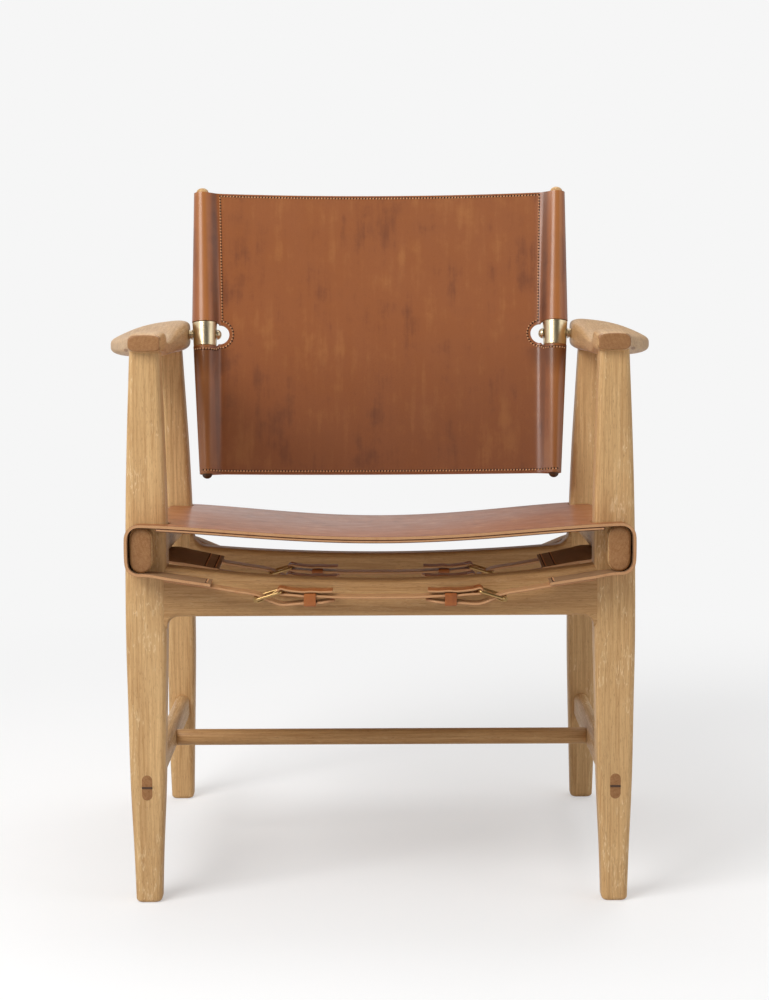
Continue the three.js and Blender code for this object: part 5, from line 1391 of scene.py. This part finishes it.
def strap_flesh(scene):
    """The straps' flesh side, pressed smooth and waxed."""
    c = scene.chair_colours
    return leather(scene, "strap flesh side", c.cut_edge, c.saddle_pale, c.cut_edge, 0.34, 0.7,
                   grain=0.6, shine=0.6)


def thread(scene):
    """Waxed linen thread: two strands, told by a slanting ripple."""
    if "thread" in bpy.data.materials:
        return bpy.data.materials["thread"]
    tone = scene.chair_colours.thread
    material, tree, shader, place = new_material("thread", tone)
    mm = millimetres(tree, place)
    strand = put(tree, "TexWave", {"Vector": mm, "Scale": 0.8, "Distortion": 1.0},
                 bands_direction="DIAGONAL").outputs["Fac"]
    dirt = noise(tree, mm, 0.05, 3)
    low = mix(tree, ramp(tree, dirt, 0.35, 0.7, to=(0.0, 0.45)), tone, [v * 0.45 for v in tone])
    tone = mix(tree, times(tree, strand, 0.25), low, [v * 0.6 for v in tone])
    feed(tree, shader.inputs, {"Base Color": tone, "Roughness": 0.65})
    dents(tree, shader, strand, 0.4, 0.1)
    return material


def needle_hole_shade(scene):
    """Painted shade of the needle holes between the stitches: a nearly black tone."""
    if "needle hole" in bpy.data.materials:
        return bpy.data.materials["needle hole"]
    tone = [v * 0.12 for v in scene.chair_colours.saddle]
    material, tree, shader, place = new_material("needle hole", tone)
    spots = noise(tree, millimetres(tree, place), 1.5, 2)
    tone = mix(tree, spots, tone, [v * 2.2 for v in tone])
    feed(tree, shader.inputs, {"Base Color": tone, "Roughness": 0.85})
    return material


def brass(scene, way="up", aged=None):
    """Brushed brass: fine scratches round the piece, small blotches of tarnish. Aged brass has a
    colour of its own."""
    name = f"brass {way}"
    if name in bpy.data.materials:
        return bpy.data.materials[name]
    tone = aged or scene.chair_colours.brass
    material, tree, shader, place = new_material(name, tone)
    mm = millimetres(tree, along_grain(tree, place, way))
    brushed = noise(tree, mm, 1.0, 3, 0.6, (0.05, 0.05, 7.0))
    blotch = noise(tree, mm, 0.12, 4, 0.6)
    dull = ramp(tree, blotch, 0.45, 0.75)
    worn = mix(tree, times(tree, dull, 0.3), tone, [v * 0.6 for v in tone])
    worn = mix(tree, times(tree, brushed, 0.2), worn, [v * 0.75 for v in tone])
    rough = ramp(tree, brushed, 0.3, 0.75, False, (0.26, 0.34))
    feed(tree, shader.inputs, {"Base Color": worn, "Metallic": 1.0,
                               "Roughness": times_plus(tree, dull, 0.12, rough)})
    dents(tree, shader, brushed, 0.08, 0.02)
    return material


# What a user may change

def length(name, description, value, low, high):
    """A length given in millimetres."""
    return bpy.props.FloatProperty(name=name, description=description, default=value * MM,
                                   min=low * MM, max=high * MM, unit="LENGTH",
                                   subtype="DISTANCE", precision=5)


def shade(name, description, *screen):
    """A colour given as on a screen."""
    return bpy.props.FloatVectorProperty(name=name, description=description, size=3, min=0,
                                         max=1, default=colour(*screen), subtype="COLOR")


class ChairSizes(bpy.types.PropertyGroup):
    """Sizes of the finish"""
    soft_hide: length("Leather edge", "Rounding of the leather's cut edges", 0.9, 0.1, 1.5)
    soft_strap: length("Strap edge", "Rounding of the straps' ends", 0.5, 0.1, 1.2)
    pitch: length("Stitch pitch", "From one needle hole to the next", 4.2, 2.5, 8)
    stitch: length("Stitch length", "Thread that shows between two holes", 2.7, 1.5, 7)
    thread: length("Thread", "Radius of the thread", 0.95, 0.2, 1.2)
    grain: length("Leather grain", "Size of the leather's cells", 1.1, 0.3, 3)
    ring_width: length("Growth rings", "Width of one year's growth in the oak", 4.2, 1, 10)


class ChairColours(bpy.types.PropertyGroup):
    """Colours of the finish"""
    oak: shade("Oak", "Early wood of the frame", 222, 183, 130)
    oak_late: shade("Oak late wood", "Late wood and fibres", 168, 120, 70)
    oak_fleck: shade("Oak fleck", "Ray flecks", 240, 212, 168)
    # also the painted shade on the back uprights' domed feet
    wedge: shade("Wedge", "Dark wood of the wedges", 84, 56, 36)
    saddle: shade("Saddle leather", "Main colour of the leather", 154, 88, 42)
    saddle_deep: shade("Leather, deep", "Dark clouds in the leather", 118, 62, 30)
    saddle_pale: shade("Leather, pale", "Pale clouds in the leather", 174, 110, 58)
    cut_edge: shade("Cut edge", "Raw edges of the leather", 194, 146, 102)
    lining: shade("Lining", "The seat's second layer and the leather's back", 162, 126, 92)
    thread: shade("Thread", "Stitching", 226, 166, 116)
    brass: shade("Brass", "Collars and bolts", 222, 204, 168)
    buckle: shade("Buckles", "Older, darker brass of the buckles", 196, 160, 106)
    floor: shade("Floor", "Floor and background", 246, 246, 246)


class ChairStage(bpy.types.PropertyGroup):
    """Camera and light"""
    lens: bpy.props.FloatProperty(name="Lens", description="Focal length on a 36 mm frame",
                                  default=113.07, min=20, max=300, unit="CAMERA")
    distance: length("Distance", "From the chair's front legs to the camera", 3078, 500, 20000)
    height: length("Eye height", "Camera above the floor", 832.9, 50, 5000)
    pitch: bpy.props.FloatProperty(name="Pitch", description="Camera's downward tilt",
                                   default=math.radians(7.097), unit="ROTATION")
    key: bpy.props.FloatProperty(name="Key light", description="Lamp at the upper left, watts",
                                 default=60, min=0, max=1000, unit="POWER")
    fill: bpy.props.FloatProperty(name="Fill light", description="Lamp at the right, watts",
                                  default=8, min=0, max=1000, unit="POWER")
    ambient: bpy.props.FloatProperty(name="Ambient", description="Strength of the room's light",
                                     default=0.45, min=0, max=2)


# Making the pieces

def ends_finish(part, axis, limit=0.7, front=None):
    """Marks with finish 1 the faces that look along an axis, with a limit of its own for those
    that look to its low side."""
    points, faces = part
    marks = []
    for f in faces:
        normal = np.cross(points[f[:, 1]] - points[f[:, 0]], points[f[:, 2]] - points[f[:, 0]])
        size = np.maximum(np.linalg.norm(normal, axis=1), 1e-9)
        look = normal[:, axis] / size
        marks.append(((look > limit) | (look < -(front or limit))).astype(int))
    return points, faces, np.concatenate(marks)


class MakeLegs(bpy.types.Operator):
    """Four oak legs, each swelling at the seat and thinning to the foot"""
    bl_idname = "chair.legs"
    bl_label = "Legs"

    def execute(self, context):
        finishes = [oak(context.scene, "up"), oak(context.scene, "up", end=True)]
        for name, leg in (("front_leg", FRONT_LEG), ("rear_leg", REAR_LEG)):
            pair(name, [ends_finish(leg_shape(leg), 2, 0.9)], finishes, slot="oak")
        return {"FINISHED"}


class MakeRails(bpy.types.Operator):
    """Two tapered oak rails that carry the seat leather"""
    bl_idname = "chair.rails"
    bl_label = "Seat rails"

    def execute(self, context):
        finishes = [oak(context.scene, "deep"), oak(context.scene, "deep", end=True)]
        pair("seat_rail", [ends_finish(rail_shape(), 1)], finishes, slot="oak")
        return {"FINISHED"}


class MakeAprons(bpy.types.Operator):
    """The front and rear aprons, curved into the legs"""
    bl_idname = "chair.aprons"
    bl_label = "Aprons"

    def execute(self, context):
        wood = [oak(context.scene, "wide")]
        for name, apron in (("front_apron", FRONT_APRON), ("rear_apron", REAR_APRON)):
            piece(f"{name}_piece", [apron_shape(apron)], wood, replaces=name, slot="oak")
        return {"FINISHED"}


class MakeStretchers(bpy.types.Operator):
    """Side stretchers with through tenons and their wedges, and the round cross bar"""
    bl_idname = "chair.stretchers"
    bl_label = "Stretchers"

    def execute(self, context):
        scene = context.scene
        bar = stretcher_bar(STRETCHER_START, REAR_LEG[2] + LEG_EDGE, STRETCHER_SECTION, 1.5)
        tenon = stretcher_bar(TENON_START, TENON_END, TENON_SECTION, 0.8)
        finishes = [oak(scene, "deep"), oak(scene, "deep", end=True)]
        pair("side_stretcher", [bar, ends_finish(tenon, 1)], finishes, slot="oak")
        pair("tenon_wedge", [wedge_shape()], [dark_wood(scene)], slot="dark_wood")
        piece("cross_stretcher_piece", [cross_shape()], [oak(scene, "wide")],
              replaces="cross_stretcher", slot="oak")
        return {"FINISHED"}


class MakeArms(bpy.types.Operator):
    """Two shaped oak arms, square at the front and dished at the back"""
    bl_idname = "chair.arms"
    bl_label = "Armrests"

    def execute(self, context):
        finishes = [oak(context.scene, "deep", coat=0.25),
                    oak(context.scene, "deep", end=True, coat=0.15)]
        pair("armrest", [ends_finish(arm_shape(), 1, 0.8, 0.25)], finishes, slot="oak")
        return {"FINISHED"}


class MakeSeat(bpy.types.Operator):
    """The seat's leather, slung over the rails, and the lining under it"""
    bl_idname = "chair.seat"
    bl_label = "Seat leather"

    def execute(self, context):
        scene, sizes = context.scene, context.scene.chair_sizes
        sling = piece("seat_sling_piece", [sling_shape()],
                      [saddle(scene, "deep"), lining(scene), cut_edge(scene), burnish(scene)],
                      replaces="seat_sling", slot="saddle_leather")
        under = piece("seat_lining_piece", [lining_shape()],
                      [lining(scene), lining(scene), cut_edge(scene), burnish(scene)],
                      replaces="seat_lining", slot="lining_leather")
        for obj in (sling, under):
            soften(obj, sizes.soft_hide * 1000, finish=3)
        return {"FINISHED"}


class MakeStraps(bpy.types.Operator):
    """Four rows of straps under the seat with their keepers, buckles and prongs"""
    bl_idname = "chair.straps"
    bl_label = "Straps and buckles"

    def execute(self, context):
        scene, sizes = context.scene, context.scene.chair_sizes
        hide = [saddle(scene, "deep"), cut_edge(scene), strap_flesh(scene)]
        metal = [brass(scene, "deep", scene.chair_colours.buckle)]
        for row, y, band in STRAP_ROWS:
            z = row_height(band)
            pieces = pair(f"{row}_billet_strap", [moved(billet_shape(band), y, z)], hide,
                          slot="saddle_leather")
            centre = piece(f"{row}_centre_strap_piece", [moved(centre_shape(), y, z)], hide,
                           replaces=f"{row}_centre_strap", slot="saddle_leather")
            carve(centre, prong_slots(y, z))
            for obj in (*pieces, centre):
                soften(obj, sizes.soft_strap * 1000, 60)
            pair(f"{row}_strap_keeper", [moved(keeper_shape(), y, z)], hide,
                 slot="saddle_leather")
            pair(f"{row}_buckle_frame", [moved(part, y, z) for part in buckle_shapes()], metal,
                 slot="brass")
            pair(f"{row}_buckle_prong", [moved(prong_shape(), y, z)], metal, slot="brass")
        return {"FINISHED"}


class MakeBack(bpy.types.Operator):
    """The back's double leather with its sleeves, cut out beside the collars"""
    bl_idname = "chair.back"
    bl_label = "Back leather"

    def execute(self, context):
        scene, sizes = context.scene, context.scene.chair_sizes
        back = piece("back_leather_piece", [back_shape()],
                     [saddle(scene, "back"), cut_edge(scene)], body="backrest",
                     replaces="back_leather", slot="saddle_leather", sharp=0)
        bore, eye = bore_shape(), eye_shape()
        eye = (tilt_back(eye[0]), eye[1])
        carve(back, [bore, mirrored(bore)])
        carve(back, [eye, mirrored(eye)])
        self.mark_edges(back)
        soften(back, sizes.soft_hide * 1000, 55)
        return {"FINISHED"}

    def mark_edges(self, back):
        """Gives the cut edge's finish to faces that look up or down the back, and to the eyes'
        walls, which look along neither the back's depth nor out from an upright."""
        mesh = back.data
        count = len(mesh.polygons)
        normal, centre = np.empty(count * 3), np.empty(count * 3)
        mesh.polygons.foreach_get("normal", normal)
        mesh.polygons.foreach_get("center", centre)
        normal, centre = normal.reshape(-1, 3), centre.reshape(-1, 3) / MM
        c, s = math.cos(TILT), math.sin(TILT)
        y, z = centre[:, 1] - SHIFT_Y / MM - PIVOT_Y, centre[:, 2] - PIVOT_Z
        height = y * s + z * c
        deep = normal[:, 1] * c - normal[:, 2] * s
        up = normal[:, 1] * s + normal[:, 2] * c
        x = np.abs(centre[:, 0])
        rim = np.hypot(np.minimum(x - EYE_START, 0), height)
        eye = (np.abs(rim - EYE_RADIUS) < 0.4) & (x < EYE_START + 0.3) & (np.abs(deep) < 0.35)
        flat = np.abs(up) > 0.75
        mesh.polygons.foreach_set("material_index", (eye | flat).astype(np.int32))
        mesh.set_sharp_from_angle(angle=math.radians(SHARP))


class MakeUprights(bpy.types.Operator):
    """The back's two tapered oak uprights"""
    bl_idname = "chair.uprights"
    bl_label = "Back uprights"

    def execute(self, context):
        scene = context.scene
        pair("back_upright", [upright_shape()], [oak(scene, "back"), dark_wood(scene)],
             body="backrest", slot="oak")
        return {"FINISHED"}


class MakePivots(bpy.types.Operator):
    """The brass collars, and the bolts and washers that hold the back to the arms"""
    bl_idname = "chair.pivots"
    bl_label = "Pivots"

    def execute(self, context):
        scene = context.scene
        pair("pivot_collar", [collar_shape()], [brass(scene, "back")], body="backrest",
             slot="brass")
        pair("pivot_bolt", bolt_shapes(), [brass(scene, "wide")], slot="brass")
        return {"FINISHED"}


class MakeStitching(bpy.types.Operator):
    """Every stitch of the back and of the seat's flaps, with painted shade for its needle holes
    """
    bl_idname = "chair.stitching"
    bl_label = "Stitching"

    def execute(self, context):
        scene, sizes = context.scene, context.scene.chair_sizes
        finishes = [thread(scene), needle_hole_shade(scene)]
        gauge = [v * 1000 for v in (sizes.pitch, sizes.stitch, sizes.thread)]
        for name, rows, body in (("back_stitching", back_rows(), "backrest"),
                                 ("seat_stitching", seat_rows(), "frame")):
            parts = [part for line, out in rows
                     for part in rows_of_stitches(line, out, *gauge)]
            piece(name, parts, finishes, body=body, slot="lining_leather")
        return {"FINISHED"}


FLOOR_RADIUS, LAMP_AIM, CAMERA_ASIDE = 6, (0, 0, 0.45), 0.0053  # metres
CAMERA_ROLL = math.radians(-0.25)


class MakeStage(bpy.types.Operator):
    """A pale floor that keeps the shadow, soft lamps and the camera"""
    bl_idname = "chair.stage"
    bl_label = "Stage"

    def execute(self, context):
        scene, stage = context.scene, context.scene.chair_stage
        tone = list(scene.chair_colours.floor)
        self.floor(scene, tone)
        self.world(scene, tone, stage.ambient)
        for name, power, place, size in (("key", stage.key, (-1.5, -1.75, 2.35), 1.6),
                                         ("fill", stage.fill, (2.6, -1.2, 1.5), 1.8),
                                         ("top", stage.key * 0.4, (0.3, 1.2, 2.8), 2.0)):
            self.lamp(scene, name, power, place, size)
        data = bpy.data.cameras.new("camera")
        data.lens = stage.lens
        data.sensor_fit = "HORIZONTAL"
        data.sensor_width = 36
        camera = bpy.data.objects.new("camera", data)
        turn = (Matrix.Rotation(math.pi / 2 - stage.pitch, 4, "X")
                @ Matrix.Rotation(CAMERA_ROLL, 4, "Z"))
        eye = Matrix.Translation((CAMERA_ASIDE, -stage.distance, stage.height))
        camera.matrix_world = eye @ turn
        scene.collection.objects.link(camera)
        scene.camera = camera
        scene.view_settings.view_transform = "Standard"
        return {"FINISHED"}

    def floor(self, scene, tone):
        """A disc whose seen colour is part its own light and part what falls on it, fading into
        the background with distance."""
        turn = np.linspace(0, 2 * math.pi, 64, endpoint=False)
        ring = points_at(np.cos(turn), np.sin(turn), 0) * FLOOR_RADIUS
        mesh = bpy.data.meshes.new("floor")
        mesh.from_pydata(ring.tolist(), [], [list(range(64))])
        material, tree, shader, place = new_material("floor", tone)
        lit = put(tree, "BsdfDiffuse", {"Color": [v * 0.66 for v in tone]})
        own = put(tree, "Emission", {"Color": tone, "Strength": 0.41})
        both = put(tree, "AddShader", {0: lit.outputs[0], 1: own.outputs[0]})
        far = put(tree, "Emission", {"Color": tone, "Strength": 1.0})
        away = put(tree, "VectorMath", {0: place}, operation="LENGTH")
        speck = noise(tree, place, 3.0, 2)
        away = times_plus(tree, speck, 0.1, away.outputs["Value"])
        fade = ramp(tree, away, 0.75, 1.9)
        seen = put(tree, "MixShader", {0: fade, 1: both.outputs[0],
                                                 2: far.outputs[0]})
        plain = put(tree, "BsdfDiffuse", {"Color": [v * 0.85 for v in tone]})
        path = tree.nodes.new("ShaderNodeLightPath")
        last = put(tree, "MixShader", {
            0: path.outputs["Is Camera Ray"], 1: plain.outputs[0], 2: seen.outputs[0]})
        tree.links.new(last.outputs[0], tree.nodes["Material Output"].inputs["Surface"])
        tree.nodes.remove(shader)
        mesh.materials.append(material)
        floor = bpy.data.objects.new("floor", mesh)
        scene.collection.objects.link(floor)

    def world(self, scene, tone, strength):
        """Plain light for the object; the background's colour where it is seen or mirrored."""
        world = bpy.data.worlds.new("studio")
        world.use_nodes = True
        tree = world.node_tree
        path = tree.nodes.new("ShaderNodeLightPath").outputs
        seen = calc(tree, "MAXIMUM", path["Is Camera Ray"], path["Is Transmission Ray"])
        aim = tree.nodes.new("ShaderNodeTexCoord").outputs["Generated"]
        aim = put(tree, "SeparateXYZ", {0: aim}).outputs
        front = times(tree, ramp(tree, aim["Y"], -0.7, 0.35, to=(0.2, 0.8)),
                      ramp(tree, aim["X"], -0.03, 0.07, to=(1.0, 0.4)))
        sides = ramp(tree, calc(tree, "ABSOLUTE", aim["X"]), 0.45, 0.85, to=(0.0, 0.65))
        seen = times_plus(tree, path["Is Glossy Ray"],
                          calc(tree, "ADD", front, sides), seen, clamp=True)
        other = calc(tree, "MAXIMUM", path["Is Glossy Ray"], seen)
        plain = times(tree, calc(tree, "SUBTRACT", 1.0, other), strength)
        feed(tree, tree.nodes["Background"].inputs, {
            "Color": tone, "Strength": calc(tree, "ADD", seen, plain)})
        scene.world = world

    def lamp(self, scene, name, power, place, size):
        """A square lamp turned to the middle of the chair."""
        data = bpy.data.lights.new(name, "AREA")
        data.energy, data.shape, data.size = power, "SQUARE", size
        obj = bpy.data.objects.new(name, data)
        aim = Vector(LAMP_AIM) - Vector(place)
        obj.matrix_world = (Matrix.Translation(place)
                            @ aim.to_track_quat("-Z", "Y").to_matrix().to_4x4())
        scene.collection.objects.link(obj)


OPERATORS = (MakeLegs, MakeRails, MakeAprons, MakeStretchers, MakeArms, MakeSeat, MakeStraps,
             MakeUprights, MakeBack, MakePivots, MakeStitching, MakeStage)


class ChairPanel(bpy.types.Panel):
    """Every piece of the chair, and the sizes and colours of its finish"""
    bl_idname = "VIEW3D_PT_chair"
    bl_label = "Leather sling lounge chair"
    bl_space_type = "VIEW_3D"
    bl_region_type = "UI"
    bl_category = "Chair"

    def draw(self, context):
        for operator in OPERATORS:
            self.layout.operator(operator.bl_idname)
        for title, group in (("Sizes", context.scene.chair_sizes),
                             ("Colours", context.scene.chair_colours),
                             ("Stage", context.scene.chair_stage)):
            box = self.layout.box()
            box.label(text=title)
            for key in group.bl_rna.properties.keys():
                if key not in {"rna_type", "name"}:
                    box.prop(group, key)


CLASSES = (ChairSizes, ChairColours, ChairStage, *OPERATORS, ChairPanel)


def register():
    for cls in CLASSES:
        bpy.utils.register_class(cls)
    bpy.types.Scene.chair_sizes = bpy.props.PointerProperty(type=ChairSizes)
    bpy.types.Scene.chair_colours = bpy.props.PointerProperty(type=ChairColours)
    bpy.types.Scene.chair_stage = bpy.props.PointerProperty(type=ChairStage)


def unregister():
    for name in ("chair_sizes", "chair_colours", "chair_stage"):
        delattr(bpy.types.Scene, name)
    for cls in reversed(CLASSES):
        bpy.utils.unregister_class(cls)


def main():
    """Makes every piece in order."""
    register()
    for operator in OPERATORS:
        group, name = operator.bl_idname.split(".")
        getattr(getattr(bpy.ops, group), name)()


if __name__ == "__main__":
    main()
